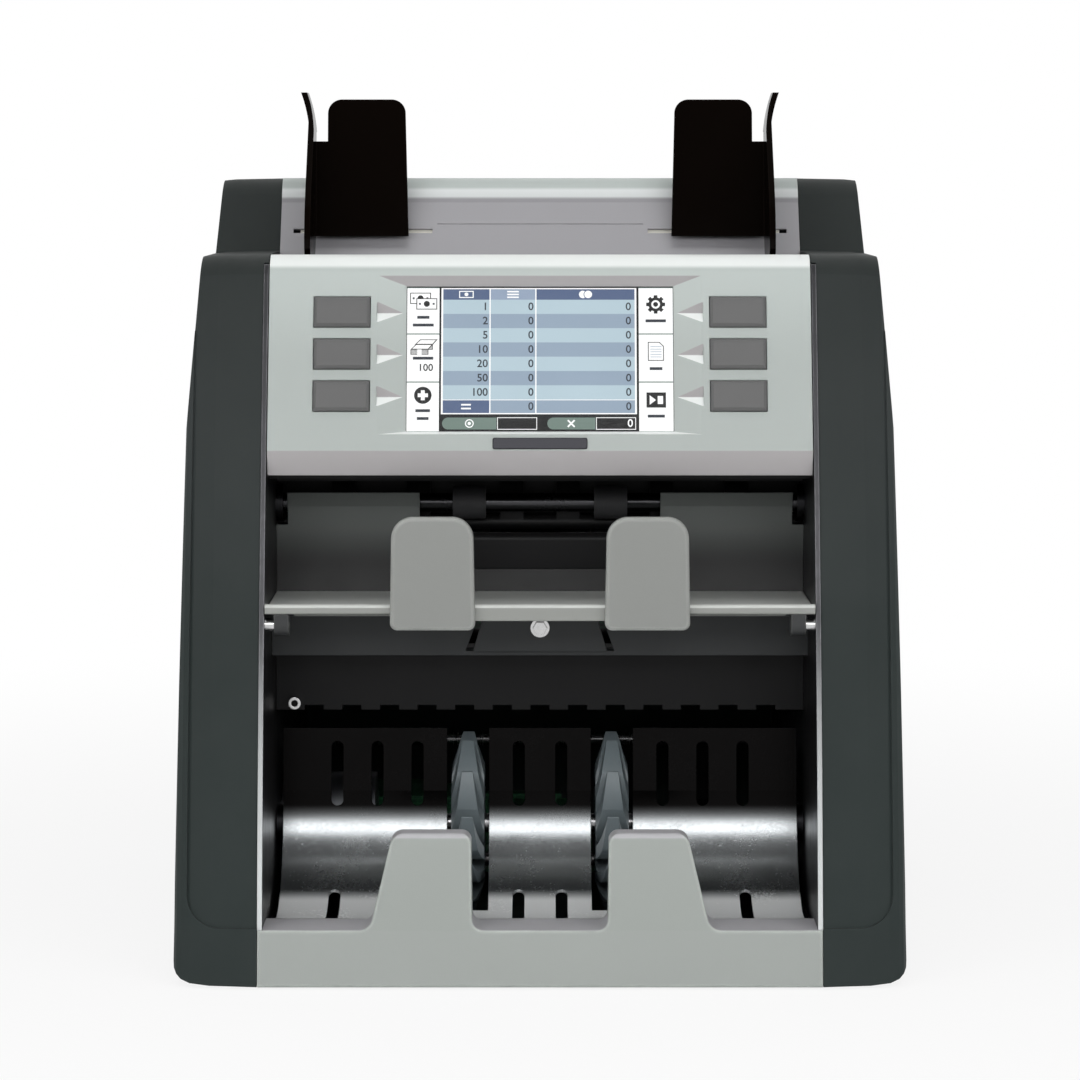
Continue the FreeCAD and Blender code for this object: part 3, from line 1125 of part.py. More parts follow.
def make_panel():
    half = "Places.frame_inner - Sizes.fit_gap"
    depth, top, wall = "Sizes.panel_body", "Sizes.panel_length", "Sizes.panel_wall"
    body = panel_body("bezel")
    pad(body, sketch_on(body, "YZ", [
        ("5", "-Sizes.panel_foot"), ("0", "7", "-20"), ("0", f"{top} - 10"), ("9", top, "-84"), (depth, top),
        (depth, f"({depth} - 5) * tan(Sizes.panel_lean) - Sizes.panel_foot")]),
        f"2 * ({half})", both=True)
    inner = f"{half} - 3"
    pocket(body, sketch_on(body, "XZ", rectangle(f"-({inner})", "5", inner, f"{top} - 12.6"),
                           lift=f"-({wall})"), f"{depth} - {wall} + 1")
    width, height, middle = "Sizes.screen_width", "Sizes.screen_height", "Sizes.screen_centre"
    opening = rectangle(f"-{width} / 2", f"{middle} - {height} / 2",
                        f"{width} / 2", f"{middle} + {height} / 2")
    pocket(body, sketch_on(body, "XZ", opening), both=True)
    gap = "0.3"
    holes = [rectangle(f"{x} - Sizes.key_width / 2 - {gap}", f"{z} - Sizes.key_height / 2 - {gap}",
                       f"{x} + Sizes.key_width / 2 + {gap}", f"{z} + Sizes.key_height / 2 + {gap}")
             for x, z in key_places().values()]
    pocket(body, sketch_on(body, "XZ", *holes), both=True)
    for sign in (-1, 1):
        pin = ("Places.hinge_in", "Places.hinge_up", "Sizes.hinge_radius + Sizes.run_gap")
        hole = sketch_on(body, "YZ", circles=[pin], lift=f"{sign} * ({half} - 8)")
        pocket(body, hole, "12", back=sign > 0)
    arrows = [arrow(f"arrow_{name}", x, z) for name, (x, z) in key_places().items()]
    bevel = DOC.addObject("Part::Wedge", "screen_bevel")
    in_panel_frame(bevel)
    bind(bevel, Ymin="0", Ymax="Sizes.screen_sink", X2max=f"{width} / 2", X2min=f"-{width} / 2",
         Xmax=f"{width} / 2 + Sizes.screen_bevel", Xmin=f"-{width} / 2 - Sizes.screen_bevel",
         Zmax=f"{middle} + {height} / 2 + 4", Zmin=f"{middle} - {height} / 2 - 1.6",
         Z2max=f"{middle} + {height} / 2", Z2min=f"{middle} - {height} / 2")
    node("panel_bezel", cut("bezel_cut", body, fuse("screen_cuts", [bevel, *arrows])))

    window = panel_body("window")
    rim = "2.5"
    plate = rectangle(f"-{width} / 2 - {rim}", f"{middle} - {height} / 2 - {rim}", f"{width} / 2 + {rim}",
                      f"{middle} + {height} / 2 + {rim}")
    pad(window, sketch_on(window, "XZ", plate, lift=f"-({wall})"), "1.2", back=True)
    node("display_window", window)
    module = panel_body("module")
    pad(module, sketch_on(module, "XZ", plate, lift=f"-({wall}) - 1.2"), "4.5", back=True)
    node("display_module", module)
    board = panel_body("board")
    pad(board, sketch_on(board, "XZ", rectangle(f"-({inner}) + 1", "7", f"{inner} - 1", f"{top} - 14.6"),
                         lift=f"-({wall}) - 5.7"), "Sizes.board_sheet", back=True)
    node("keypad_board", board)


KEY_ROWS = ("upper", "middle", "lower")


def key_places():
    """Name and middle of each key in the panel's frame."""
    places = {}
    for side, sign in (("left", -1), ("right", 1)):
        for row, name in enumerate(KEY_ROWS):
            places[f"{side}_{name}"] = (f"{sign} * Sizes.key_reach",
                                        f"Sizes.key_row + {1 - row} * Sizes.key_pitch")
    return places


def arrow(name, x, z):
    """A faceted notch in the bevel that points from a key to the screen."""
    sign = 1 if value(x) > 0 else -1
    foot = sign * (value("Sizes.screen_width / 2 + Sizes.screen_bevel") + 0.7)
    tip = sign * (value("Sizes.screen_width / 2") + 1)
    middle, half, sink = value(z), 5.5, value("Sizes.screen_sink")
    corners = [Vector(foot, -0.6, middle + half), Vector(foot, -0.6, middle - half),
               Vector(foot, sink * 0.95, middle), Vector(tip, sink * 0.88, middle)]
    faces = [Part.Face(Part.makePolygon([corners[i] for i in (*side, side[0])]))
             for side in ((0, 1, 2), (0, 1, 3), (1, 2, 3), (0, 2, 3))]
    thing = DOC.addObject("Part::Feature", name)
    thing.Shape = Part.makeSolid(Part.makeShell(faces))
    thing.Placement = Placement(
        Vector(0, value("Sizes.panel_depth - Places.half_depth"), value("Places.panel_height")),
        Rotation(Vector(1, 0, 0), -value("Sizes.panel_lean")))
    return thing


def make_keys():
    for name, (x, z) in key_places().items():
        body = panel_body(f"key_{name}_body")
        sides = (f"{x} - Sizes.key_width / 2", f"{z} - Sizes.key_height / 2", f"{x} + Sizes.key_width / 2",
                 f"{z} + Sizes.key_height / 2")
        pad(body, sketch_on(body, "XZ", rectangle(*sides), lift="Sizes.key_proud"),
            "Sizes.key_proud + Sizes.panel_wall + 0.5", back=True)
        DOC.recompute()
        round_edges(body, "1.2", lambda edge: all(abs(v.Point.y + value("Sizes.key_proud")) < 1e-4
                                                  for v in edge.Vertexes), "Chamfer")
        flange = [f"{text} {step} 1" for text, step in zip(sides, "--++")]
        pad(body, sketch_on(body, "XZ", rectangle(*flange), lift="-Sizes.panel_wall - 0.1"), "0.8", back=True)
        node(f"key_{name}", body)


# Reject pocket: a tray that tips on two pins, with two note stops, and the guides round it

def make_tray():
    half = "Places.frame_inner - Sizes.fit_gap"
    body = new_body("tray")
    top, sheet = "Sizes.tray_height", "Sizes.tray_sheet"
    front, back = "Sizes.tray_front", "Sizes.tray_back"
    pad(body, sketch_on(body, "YZ", [
        (front, f"{top} - 4"), (front, f"{top} + 1"), (f"{front} + 1.5", f"{top} + 2.5", "-90"),
        (f"{front} + 3.5", f"{top} + 2.5"), (f"{front} + 5", top), (f"{back} - 1.5", top),
        (back, f"{top} - 1.5", "-90"), (back, f"{top} - {sheet}"), (f"{front} + 5", f"{top} - {sheet}"),
        (f"{front} + 4", f"{top} - 4")]), f"2 * ({half})", both=True)
    depth, height = "Sizes.tray_pin_depth", "Places.tray_pin_height"
    for sign in (-1, 1):
        under = sketch_on(body, "YZ", [
            (f"{front} - 1", f"{top} - 0.8"), (f"{front} - 1", f"{top} - 6"), (f"{front} + 8", f"{top} - 6"),
            (f"{front} + 8", f"{top} - {sheet}")], lift=f"{sign} * Sizes.stop_reach")
        pocket(body, under, half, back=sign > 0)
        ear = sketch_on(body, "YZ", [
            (f"{depth} - 4.5", f"{top} - 1.5"), (f"{depth} - 4.5", height),
            (depth, f"{height} - 4.5", 90), (f"{depth} + 4.5", height, 90),
            (f"{depth} + 7", f"{top} - 1.5")], lift=f"{sign} * ({half} - Sizes.ear_inset)")
        pad(body, ear, "6", back=sign > 0)
        hole = sketch_on(body, "YZ", circles=[(depth, height, "Sizes.pin_radius + Sizes.run_gap")],
                         lift=f"{sign} * ({half} - Sizes.ear_inset)")
        pocket(body, hole, "6.5", back=sign < 0)
    notches = [rectangle(f"{sign} * 45 - 9", f"{back} - 14", f"{sign} * 45 + 9", f"{back} + 1")
               for sign in (-1, 1)]
    pocket(body, sketch_on(body, "XY", *notches), both=True)
    node("reject_tray", body)

    stops = []
    for side, sign in (("left", -1), ("right", 1)):
        stop = new_body(f"{side}_stop")
        middle, wide = f"{sign} * Sizes.stop_reach", "Sizes.stop_width / 2"
        low, high = f"{top} - Sizes.stop_drop", f"{top} - Sizes.stop_drop + Sizes.stop_height"
        left, right = f"{middle} - {wide}", f"{middle} + {wide}"
        pad(stop, sketch_on(stop, "XZ", [
            (f"{left} + 3", low), (left, f"{low} + 3", "-90"), (f"{left} + 0.6", f"{high} - 8.5"),
            (f"{left} + 9", high, "-86"), (f"{right} - 9", high), (f"{right} - 0.6", f"{high} - 8.5", "-86"),
            (right, f"{low} + 3"), (f"{right} - 3", low, "-90")], lift=f"-({front} - Sizes.stop_thickness)"),
            "Sizes.stop_thickness", back=True)
        face = value(f"{front} - Sizes.stop_thickness")
        round_edges(stop, "1.3", lambda edge: all(abs(v.Point.y - face) < 1e-4 for v in edge.Vertexes))
        stops.append(stop)
    node("note_stops", group("stops", stops))


def make_pocket_guides():
    half = "Places.frame_inner"
    full = f"2 * ({half})"
    back = new_body("back_guide")
    low, roof = "Sizes.tray_height - 3", "Places.panel_height - 4"
    start, sheet = "Sizes.tray_back + 1.5", "1.5"
    high, peak = "Sizes.exit_height - 1", "Sizes.exit_height + 5"
    pad(back, sketch_on(back, "YZ", [
        (start, low), (f"{start} - 1", high, "22"), (f"{start} - 4", peak), (f"{start} - 4 + {sheet}", peak),
        (f"{start} - 1 + {sheet}", high), (f"{start} + {sheet}", low, "-22")]), full, both=True)
    mouth = rectangle("-Sizes.exit_mouth", "Sizes.exit_height - 28", "Sizes.exit_mouth", f"{roof} + 1")
    pocket(back, sketch_on(back, "XZ", mouth), both=True)
    edges = (f"{half} - Sizes.bearing_width", f"{half} + 1")
    ends = [rectangle(first, "Sizes.exit_height - 9", last, "Sizes.exit_height + 9")
            for first, last in (edges, (f"-({edges[1]})", f"-({edges[0]})"))]
    pocket(back, sketch_on(back, "XZ", *ends), both=True)
    node("reject_back_guide", back)

    exit_unit = new_body("exit_unit")
    behind, edge = f"{start} + {sheet} + 2.5", "Sizes.exit_height - 13"
    pad(exit_unit, sketch_on(exit_unit, "YZ", [
        (behind, low), (behind, f"{edge} - 3"), (f"{behind} + 3", edge, "-90"), (f"{behind} + 5", edge),
        (f"{behind} + 5", low)]), full, both=True)
    node("exit_guide", exit_unit)

    canopy = new_body("canopy")
    pad(canopy, sketch_on(canopy, "YZ", [
        ("Sizes.panel_depth + 16", f"{roof} - 2"), ("Sizes.panel_depth + 16", roof),
        (f"{start} + 8", f"{roof} + 1"),
        (f"{start} + 8", f"{roof} - 7"), (f"{start} + 6", f"{roof} - 7"), (f"{start} + 6", f"{roof} - 1")]),
        full, both=True)
    node("reject_canopy", canopy)


def make_divider():
    half = "Places.frame_inner"
    top = "Sizes.tray_height - Sizes.tray_sheet - Sizes.fit_gap"
    front, low = "Sizes.divider_front", "Sizes.divider_bottom"
    rear, comb = "Sizes.path_depth - 12", "Sizes.comb_height"
    body = new_body("divider")
    pad(body, sketch_on(body, "YZ", [
        (front, low), (front, f"{top} - 2"), (f"{front} + 2", top, "-90"), (rear, top), (rear, f"{low} - 3"),
        (f"{rear} - 12", f"{low} - 3"), (f"{front} + 1.5", low)]),
        f"2 * ({half})", both=True)
    pocket(body, sketch_on(body, "YZ", [
        (f"{front} + 3", f"{low} + 3"), (f"{front} + 3", f"{top} - 3"), (f"{rear} + 1", f"{top} - 3"),
        (f"{rear} + 1", f"{low} + 0.5"), (f"{rear} - 12", f"{low} + 0.5")]),
        f"2 * ({half} - 3)", both=True)
    wide = "Sizes.shield_half"
    shield = [(f"-{wide}", f"{low} + 2"), (wide, f"{low} + 2"), (f"{wide} - 4", f"{top} - 5"),
              (f"4 - {wide}", f"{top} - 5")]
    pad(body, sketch_on(body, "XZ", shield, lift=f"-({front})"), "Sizes.shield_proud")
    slots = [[(f"{sign} * ({wide})", f"{low} + 2"), (f"{sign} * ({wide} + 3)", f"{low} + 2"),
              (f"{sign} * ({wide} - 2)", f"{top} - 5"), (f"{sign} * ({wide} - 4)", f"{top} - 5")]
             for sign in (-1, 1)]
    pocket(body, sketch_on(body, "XZ", *slots, lift=f"-({front} - 1)"), "4.5")
    node("pocket_divider", body)

    bar = new_body("comb_bar")
    pad(bar, sketch_on(bar, "YZ", rectangle(f"{rear} - 11", f"{comb} - 1.5", f"{rear} - 1", f"{low} - 3")),
        f"2 * ({half})", both=True)
    teeth = [rectangle(f"{x} - 4", f"{comb} - 3", f"{x} + 4", f"{comb} + 0.5") for x in range(-96, 97, 16)]
    pocket(bar, sketch_on(bar, "XZ", *teeth), both=True)
    node("stacker_comb", bar)
    tube = new_body("sensor_tube")
    eye = [("-Places.frame_inner + 8", f"{comb} + 2", radius) for radius in ("2.6", "1.4")]
    pad(tube, sketch_on(tube, "XZ", circles=eye, lift=f"-({rear} - 16)"), "5", back=True)
    node("stack_sensor", tube)


# Note sensing and sorting: two image sensors across the path and the diverter under them

def make_note_path():
    full = "Sizes.pocket_width"
    low, deep = "Places.sensor_height", "Sizes.sensor_depth"
    bars = []
    for name, sign in (("front", -1), ("rear", 1)):
        bar = new_body(f"{name}_sensor")
        face = f"Sizes.path_depth + {sign} * 1.5"
        side = f"{face} + {sign} * {deep}"
        ramp = f"{face} + {sign} * 2"
        pad(bar, sketch_on(bar, "YZ", [
            (ramp, low), (face, f"{low} + 3"), (face, f"{low} + 12"), (ramp, f"{low} + 15"),
            (side, f"{low} + 15"), (side, low)]), full, both=True)
        bars.append(bar)
    foot = "Sizes.upper_height + Sizes.roller_radius + 1"
    bars.append(block("path_guide", ("-Places.frame_inner", "Sizes.path_depth + Sizes.guard_gap", foot),
                      ("Places.frame_inner", "Sizes.path_depth + Sizes.guard_gap + Sizes.guard_sheet", low)))
    node("image_sensors", group("sensor_bars", bars))

    pivot = ("Sizes.path_depth - 4", "Sizes.gate_height")
    pieces = [rod("gate_shaft", "-Places.frame_outer", *pivot, "Sizes.gate_radius", "2 * Places.frame_outer")]
    for number, x in enumerate((-84, -52, -12, 12, 52, 84)):
        finger = new_body(f"gate_finger_{number}")
        depth, height = pivot
        pad(finger, sketch_on(finger, "YZ", [
            (f"{depth} - 2.6", height), (f"{depth} + 2.6", height),
            (f"{depth} + 2.8", f"{height} + Sizes.gate_length"),
            (f"{depth} + 1.6", f"{height} + Sizes.gate_length"), (f"{depth} - 3.5", f"{height} + 7", "20")],
            lift=str(x - 5)), "10")
        pieces.append(finger)
    node("diverter_gate", fuse("gate", pieces))


# Back of the machine: cover with louvres, mains inlet and power switch, and the boards inside

def make_rear():
    half = "Places.frame_outer - Sizes.seat_gap"
    face = "Sizes.case_depth"
    cover = new_body("rear_plate")
    plate = rectangle(f"-({half})", "Sizes.foot_height + 2", half, "Places.rear_top")
    pad(cover, sketch_on(cover, "XZ", plate, lift=f"-({face})"), "Sizes.rear_sheet")
    louvres = [rectangle(f"{x} - 40", f"{z} - 2", f"{x} + 40", f"{z} + 2")
               for x in (-52, 52) for z in range(168, 253, 12)]
    pocket(cover, sketch_on(cover, "XZ", *louvres), both=True)
    openings = [rectangle("Sizes.inlet_centre - 15", "Sizes.inlet_height - 13", "Sizes.inlet_centre + 15",
                          "Sizes.inlet_height + 13"),
                rectangle("Sizes.switch_centre - 9", "Sizes.inlet_height - 13", "Sizes.switch_centre + 9",
                          "Sizes.inlet_height + 13")]
    pocket(cover, sketch_on(cover, "XZ", *openings), both=True)
    spots = [(x, z) for x in (-102, 102) for z in ("16", "Places.rear_top / 2", "Places.rear_top - 8")]
    sinks = [(x, z, "Sizes.screw_radius + 0.6") for x, z in spots]
    pocket(cover, sketch_on(cover, "XZ", circles=sinks, lift=f"-({face})"), "1.8", back=True)
    node("rear_cover", cover)

    heads = new_body("rear_screws")
    pad(heads, sketch_on(heads, "XZ", circles=[(x, z, "Sizes.screw_radius") for x, z in spots],
                         lift=f"-({face} - 0.2)"), "1.6")
    front_screw = new_body("divider_screw")
    seat, height = "-Sizes.divider_front + Sizes.shield_proud", "Sizes.divider_bottom + 12"
    washer = [("0", height, "Sizes.screw_radius + 1")]
    pad(front_screw, sketch_on(front_screw, "XZ", circles=washer, lift=seat), "0.8")
    corners = [polar("Sizes.screw_radius", 60 * step) for step in range(6)]
    head = [(x, f"{height} + {z}") for x, z in corners]
    pad(front_screw, sketch_on(front_screw, "XZ", head, lift=seat), "3")
    node("housing_screws", group("screws", [heads, front_screw]))

    inlet = new_body("inlet")
    x, z = "Sizes.inlet_centre", "Sizes.inlet_height"
    pad(inlet, sketch_on(inlet, "XZ", rectangle(f"{x} - 15", f"{z} - 13", f"{x} + 15", f"{z} + 13"),
                         lift=f"-({face})"), "Sizes.inlet_depth")
    socket = [(f"{x} - 12", f"{z} - 8"), (f"{x} + 12", f"{z} - 8"), (f"{x} + 12", f"{z} + 3"),
              (f"{x} + 7", f"{z} + 8"), (f"{x} - 7", f"{z} + 8"), (f"{x} - 12", f"{z} + 3")]
    pocket(inlet, sketch_on(inlet, "XZ", socket, lift=f"-({face})"), "Sizes.inlet_depth - 3", back=True)
    pins = [rectangle(f"{x} + {dx} - 1", f"{z} + {dz} - 2", f"{x} + {dx} + 1", f"{z} + {dz} + 2")
            for dx, dz in ((-7, -2), (7, -2), (0, 2))]
    pad(inlet, sketch_on(inlet, "XZ", *pins, lift=f"-({face} - 2)"), "Sizes.inlet_depth - 4")
    frame = new_body("switch_frame")
    x = "Sizes.switch_centre"
    pad(frame, sketch_on(frame, "XZ", rectangle(f"{x} - 9", f"{z} - 13", f"{x} + 9", f"{z} + 13"),
                         lift=f"-({face})"), "Sizes.inlet_depth")
    pocket(frame, sketch_on(frame, "XZ", rectangle(f"{x} - 6.6", f"{z} - 10.4", f"{x} + 6.6", f"{z} + 10.4"),
                            lift=f"-({face})"), "Sizes.inlet_depth - 3", back=True)
    hole = sketch_on(frame, "YZ", circles=[(f"{face} - 10", z, "1.5 + Sizes.run_gap")], lift=f"{x} - 7.8")
    pocket(frame, hole, "15.6", back=True)
    node("power_inlet", group("inlet_set", [inlet, frame]))

    rocker = new_body("rocker", f"{face} - 10 - Places.half_depth", z, "-Sizes.rocker_swing / 2")
    pad(rocker, sketch_on(rocker, "YZ", [
        ("-3.4", "-3"), ("8.6", "-9"), ("7", "0"), ("8.6", "9"), ("-3.4", "3")], lift=x), "12.4", both=True)
    axle = sketch_on(rocker, "YZ", circles=[("0", "0", "1.5")], lift=x)
    pad(rocker, axle, "15.2", both=True)
    node("power_switch", rocker)


def make_boards():
    sheet, rear = "Sizes.board_sheet", "Sizes.case_depth - Sizes.rear_sheet"
    face = f"{rear} - 28"
    pieces = [block("main_sheet", ("-95", f"{face} - {sheet}", "75"), ("95", face, "150"))]
    for number, (x, z, wide, tall, thick) in enumerate([
            (-60, 110, 30, 30, 4), (0, 120, 44, 22, 9), (55, 100, 26, 26, 4), (70, 135, 30, 12, 10),
            (-75, 140, 24, 10, 10), (20, 88, 60, 8, 9)]):
        near = (x - wide / 2, f"{face} - {sheet} - {thick}", z - tall / 2)
        pieces.append(block(f"main_chip_{number}", near, (x + wide / 2, f"{face} - {sheet}", z + tall / 2)))
    for number, (x, z) in enumerate([(-90, 80), (90, 80), (-90, 145), (90, 145)]):
        post = new_body(f"main_post_{number}")
        pad(post, sketch_on(post, "XZ", circles=[(str(x), str(z), "3")], lift=f"-({rear})"), "28")
        pieces.append(post)
    node("main_board", fuse("main_board_set", pieces))

    floor = "Sizes.foot_height + Sizes.pan_sheet"
    level = f"{floor} + 6"
    behind = lambda distance: f"Sizes.case_depth - {distance}"
    top = f"{level} + {sheet}"
    pieces = [block("supply_sheet", ("-95", behind(120), level), ("25", behind(40), top))]
    for number, (x, distance, wide, deep, tall) in enumerate([
            (-60, 85, 42, 36, 30), (-10, 100, 12, 30, 26), (-10, 58, 40, 8, 24), (12, 100, 8, 30, 26)]):
        pieces.append(block(f"supply_part_{number}", (x - wide / 2, behind(distance + deep / 2), top),
                            (x + wide / 2, behind(distance - deep / 2), f"{top} + {tall}")))
    for number, (x, distance) in enumerate([(-80, 52), (-60, 52)]):
        can = DOC.addObject("Part::Cylinder", f"supply_can_{number}")
        pieces.append(bind(can, Radius="8", Height="28", Placement__Base__x=x,
                           Placement__Base__y=f"{behind(distance)} - Places.half_depth",
                           Placement__Base__z=top))
    for number, (x, distance) in enumerate([(-90, 115), (20, 115), (-90, 45), (20, 45)]):
        post = DOC.addObject("Part::Cylinder", f"supply_post_{number}")
        pieces.append(bind(post, Radius="3", Height=f"{level} - ({floor})", Placement__Base__x=x,
                           Placement__Base__y=f"{behind(distance)} - Places.half_depth",
                           Placement__Base__z=floor))
    node("power_supply", fuse("power_supply_set", pieces))


def make_pins(post):
    """Pins that the tray and the panel turn on, and the post of the guide pinion."""
    pins = [post]
    for name, depth, height, radius, length in (
            ("tray_pin", "Sizes.tray_pin_depth", "Places.tray_pin_height", "Sizes.pin_radius",
             "7.5 + Sizes.ear_inset"),
            ("hinge_pin", "Places.hinge_depth", "Places.hinge_height", "Sizes.hinge_radius", "7.5")):
        for side, start in (("left", "-Places.frame_outer"), ("right", f"Places.frame_outer - ({length})")):
            pins.append(rod(f"{side}_{name}", start, depth, height, radius, length))
    node("pivot_pins", group("pins", pins))


def check_and_write():
    """Stops if anything failed, then writes one file for each sub-part."""
    DOC.recompute()
    for thing in DOC.Objects:
        if {"Invalid", "Error"} & set(thing.State):
            raise RuntimeError(f"{thing.Name} failed: {thing.State}")
    os.makedirs("parts", exist_ok=True)
    for thing in NODES:
        shape = thing.Shape
        if shape.isNull() or not shape.isValid() or not shape.Solids:
            raise RuntimeError(f"{thing.Label} has no valid solid")
        shape.exportStep(f"parts/{thing.Label}.step")
    print(f"{len(NODES)} sub-parts written")


make_side_covers()
make_side_frames()
make_base()
make_front_cover()
make_stacker_plate()
make_stacker_wheels()
make_rollers()
make_drive()
make_hopper()
make_guides()
make_guide_racks()
PINION_POST = make_guide_pinion()
make_panel()
make_keys()
make_tray()
make_pocket_guides()
make_divider()
make_note_path()
make_rear()
make_boards()
make_pins(PINION_POST)
check_and_write()
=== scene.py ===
# %% [markdown]
# # A banknote counting machine, dressed for a studio picture
#
# The machine arrives as a finished assembly: covers, hopper, control panel, reject tray,
# stacker wheels and the note path between them. This notebook gives every one of those parts
# a finish, lights up the screen and sets the camera. The first step clears the start-up scene
# and loads the assembly.

# %% Load the machine
import json
import math

import bpy
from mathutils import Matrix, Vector

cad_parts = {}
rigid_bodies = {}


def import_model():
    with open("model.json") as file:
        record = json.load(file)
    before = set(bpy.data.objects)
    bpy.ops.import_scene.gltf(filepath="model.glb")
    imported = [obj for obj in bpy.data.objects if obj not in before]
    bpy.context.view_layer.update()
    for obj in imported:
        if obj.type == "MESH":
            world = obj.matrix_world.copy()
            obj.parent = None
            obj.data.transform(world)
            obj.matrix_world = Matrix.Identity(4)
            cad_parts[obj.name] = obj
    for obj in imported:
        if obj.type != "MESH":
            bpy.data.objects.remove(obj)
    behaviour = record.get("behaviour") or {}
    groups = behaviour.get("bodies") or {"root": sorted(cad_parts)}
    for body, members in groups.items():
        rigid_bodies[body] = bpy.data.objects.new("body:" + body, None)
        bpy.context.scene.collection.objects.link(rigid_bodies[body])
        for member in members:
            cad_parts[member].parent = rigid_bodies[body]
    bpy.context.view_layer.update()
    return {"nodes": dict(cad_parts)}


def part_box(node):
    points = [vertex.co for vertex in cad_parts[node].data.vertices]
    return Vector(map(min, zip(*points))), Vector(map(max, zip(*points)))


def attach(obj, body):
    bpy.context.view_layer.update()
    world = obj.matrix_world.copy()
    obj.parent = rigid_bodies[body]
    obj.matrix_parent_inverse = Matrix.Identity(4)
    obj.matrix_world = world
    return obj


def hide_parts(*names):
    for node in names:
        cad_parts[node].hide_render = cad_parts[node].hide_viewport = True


MM = 0.001

for left_over in list(bpy.data.objects):
    bpy.data.objects.remove(left_over)

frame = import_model()
nodes = frame["nodes"]

# %% [markdown]
# ## The camera
#
# The picture shows the machine square on, from a little above, with hardly any perspective: a
# long lens, standing well back. The eye is 1.55 m in front of the middle and 329 mm up, and
# looks down by six degrees. A camera can also be aimed with a constraint, but three plain
# numbers are easier to tune against the picture.

# %% Set the camera
EYE = (0.0, -1.55, 0.329)
LOOK_DOWN = math.radians(6)
LENS, SENSOR = 118.3, 36


def show(name, data):
    """An object for a camera, a mesh, a text or a lamp, linked to the scene."""
    made = bpy.data.objects.new(name, data)
    bpy.context.scene.collection.objects.link(made)
    return made


camera_data = bpy.data.cameras.new("studio_camera")
camera_data.lens = LENS
camera_data.sensor_width = SENSOR
camera = show("studio_camera", camera_data)
camera.location = EYE
camera.rotation_euler = (math.radians(90) - LOOK_DOWN, 0, 0)
bpy.context.scene.camera = camera
print("camera at", EYE, "lens", LENS)

# %% [markdown]
# ## Helpers for shader nodes
#
# Every finish below is a small graph of nodes. A few helpers keep the graphs readable: add makes
# a node and sets its values, join links two sockets, arithmetic makes a Math node, and axes and
# noise read the part's own coordinates. new_group starts a node group with named inputs and
# outputs, and place puts it into a material. A group is built once and then placed in many
# materials, each with its own values, just as one moulding tool makes many parts.

# %% Node helpers
def add(tree, kind, **values):
    node = tree.nodes.new("ShaderNode" + kind)
    for key, value in values.items():
        name = key.replace("_", " ")
        if name in node.inputs:
            node.inputs[name].default_value = value
        else:
            setattr(node, key, value)
    return node


def join(tree, start, output, end, socket):
    tree.links.new(start.outputs[output], end.inputs[socket])


def arithmetic(tree, operation, *terms, clamp=False):
    """A Math node. A term is a number, or a node and the name of its output."""
    node = add(tree, "Math", operation=operation, use_clamp=clamp)
    for index, term in enumerate(terms):
        if isinstance(term, tuple):
            join(tree, *term, node, index)
        else:
            node.inputs[index].default_value = term
    return (node, "Value")


def new_group(name, inputs, outputs):
    tree = bpy.data.node_groups.new(name, "ShaderNodeTree")
    for socket, (kind, value) in inputs.items():
        made = tree.interface.new_socket(socket, in_out="INPUT", socket_type="NodeSocket" + kind)
        made.default_value = value
    for socket, kind in outputs.items():
        tree.interface.new_socket(socket, in_out="OUTPUT", socket_type="NodeSocket" + kind)
    return tree, tree.nodes.new("NodeGroupInput"), tree.nodes.new("NodeGroupOutput")


def tell(tree):
    print("group", tree.name, len(tree.nodes), "nodes")


def place(tree, name, **values):
    return add(tree, "Group", node_tree=bpy.data.node_groups[name], **values)


def axes(tree, kind):
    """The X, Y and Z of a coordinate: Object is a place on the part, Normal is where it faces."""
    place_on = add(tree, "TexCoord")
    parts = add(tree, "SeparateXYZ")
    join(tree, place_on, kind, parts, "Vector")
    return parts


def noise(tree, **values):
    """A noise texture that stays with the part when the part moves."""
    place_on = add(tree, "TexCoord")
    texture = add(tree, "TexNoise", **values)
    join(tree, place_on, "Object", texture, "Vector")
    return texture


def paint(red, green, blue):
    """A colour as a paint chart gives it, 0 to 255, turned into the linear values of a shader."""
    def linear(part):
        part = part / 255
        return part / 12.92 if part <= 0.04045 else ((part + 0.055) / 1.055) ** 2.4
    return (linear(red), linear(green), linear(blue), 1)


print("helpers ready")

# %% [markdown]
# ## Moulded grain
#
# Nearly all of the outside is injection-moulded plastic. Its tool is etched, so the surface has
# a fine grain of about half a millimetre, the gloss wanders a little, and the tone drifts over a
# hand's width. An image could carry that, but noise needs no picture and never repeats. The
# group puts out the drifted colour, the roughness and a height for the bump.

# %% Group: moulded_grain
NOISE_MIDDLE, NOISE_GAIN = 0.5, 4

group, inside, outside = new_group(
    "moulded_grain",
    {"Colour": ("Color", (0.5, 0.5, 0.5, 1)), "Grain Scale": ("Float", 1500),
     "Tone Shift": ("Float", 0.05), "Roughness": ("Float", 0.5), "Rough Spread": ("Float", 0.08)},
    {"Colour": "Color", "Roughness": "Float", "Height": "Float"})
grain = noise(group, Detail=2.5, Roughness=0.6)
drift = noise(group, Scale=13, Detail=3)
patches = noise(group, Scale=55, Detail=4, Roughness=0.65)
join(group, inside, "Grain Scale", grain, "Scale")
join(group, grain, "Fac", outside, "Height")
swing = arithmetic(group, "SUBTRACT", (drift, "Fac"), NOISE_MIDDLE)
swing = arithmetic(group, "MULTIPLY", swing, (inside, "Tone Shift"))
swing = arithmetic(group, "MULTIPLY_ADD", swing, NOISE_GAIN, 1)
toned = add(group, "VectorMath", operation="SCALE")
join(group, inside, "Colour", toned, "Vector")
join(group, *swing, toned, "Scale")
join(group, toned, "Vector", outside, "Colour")
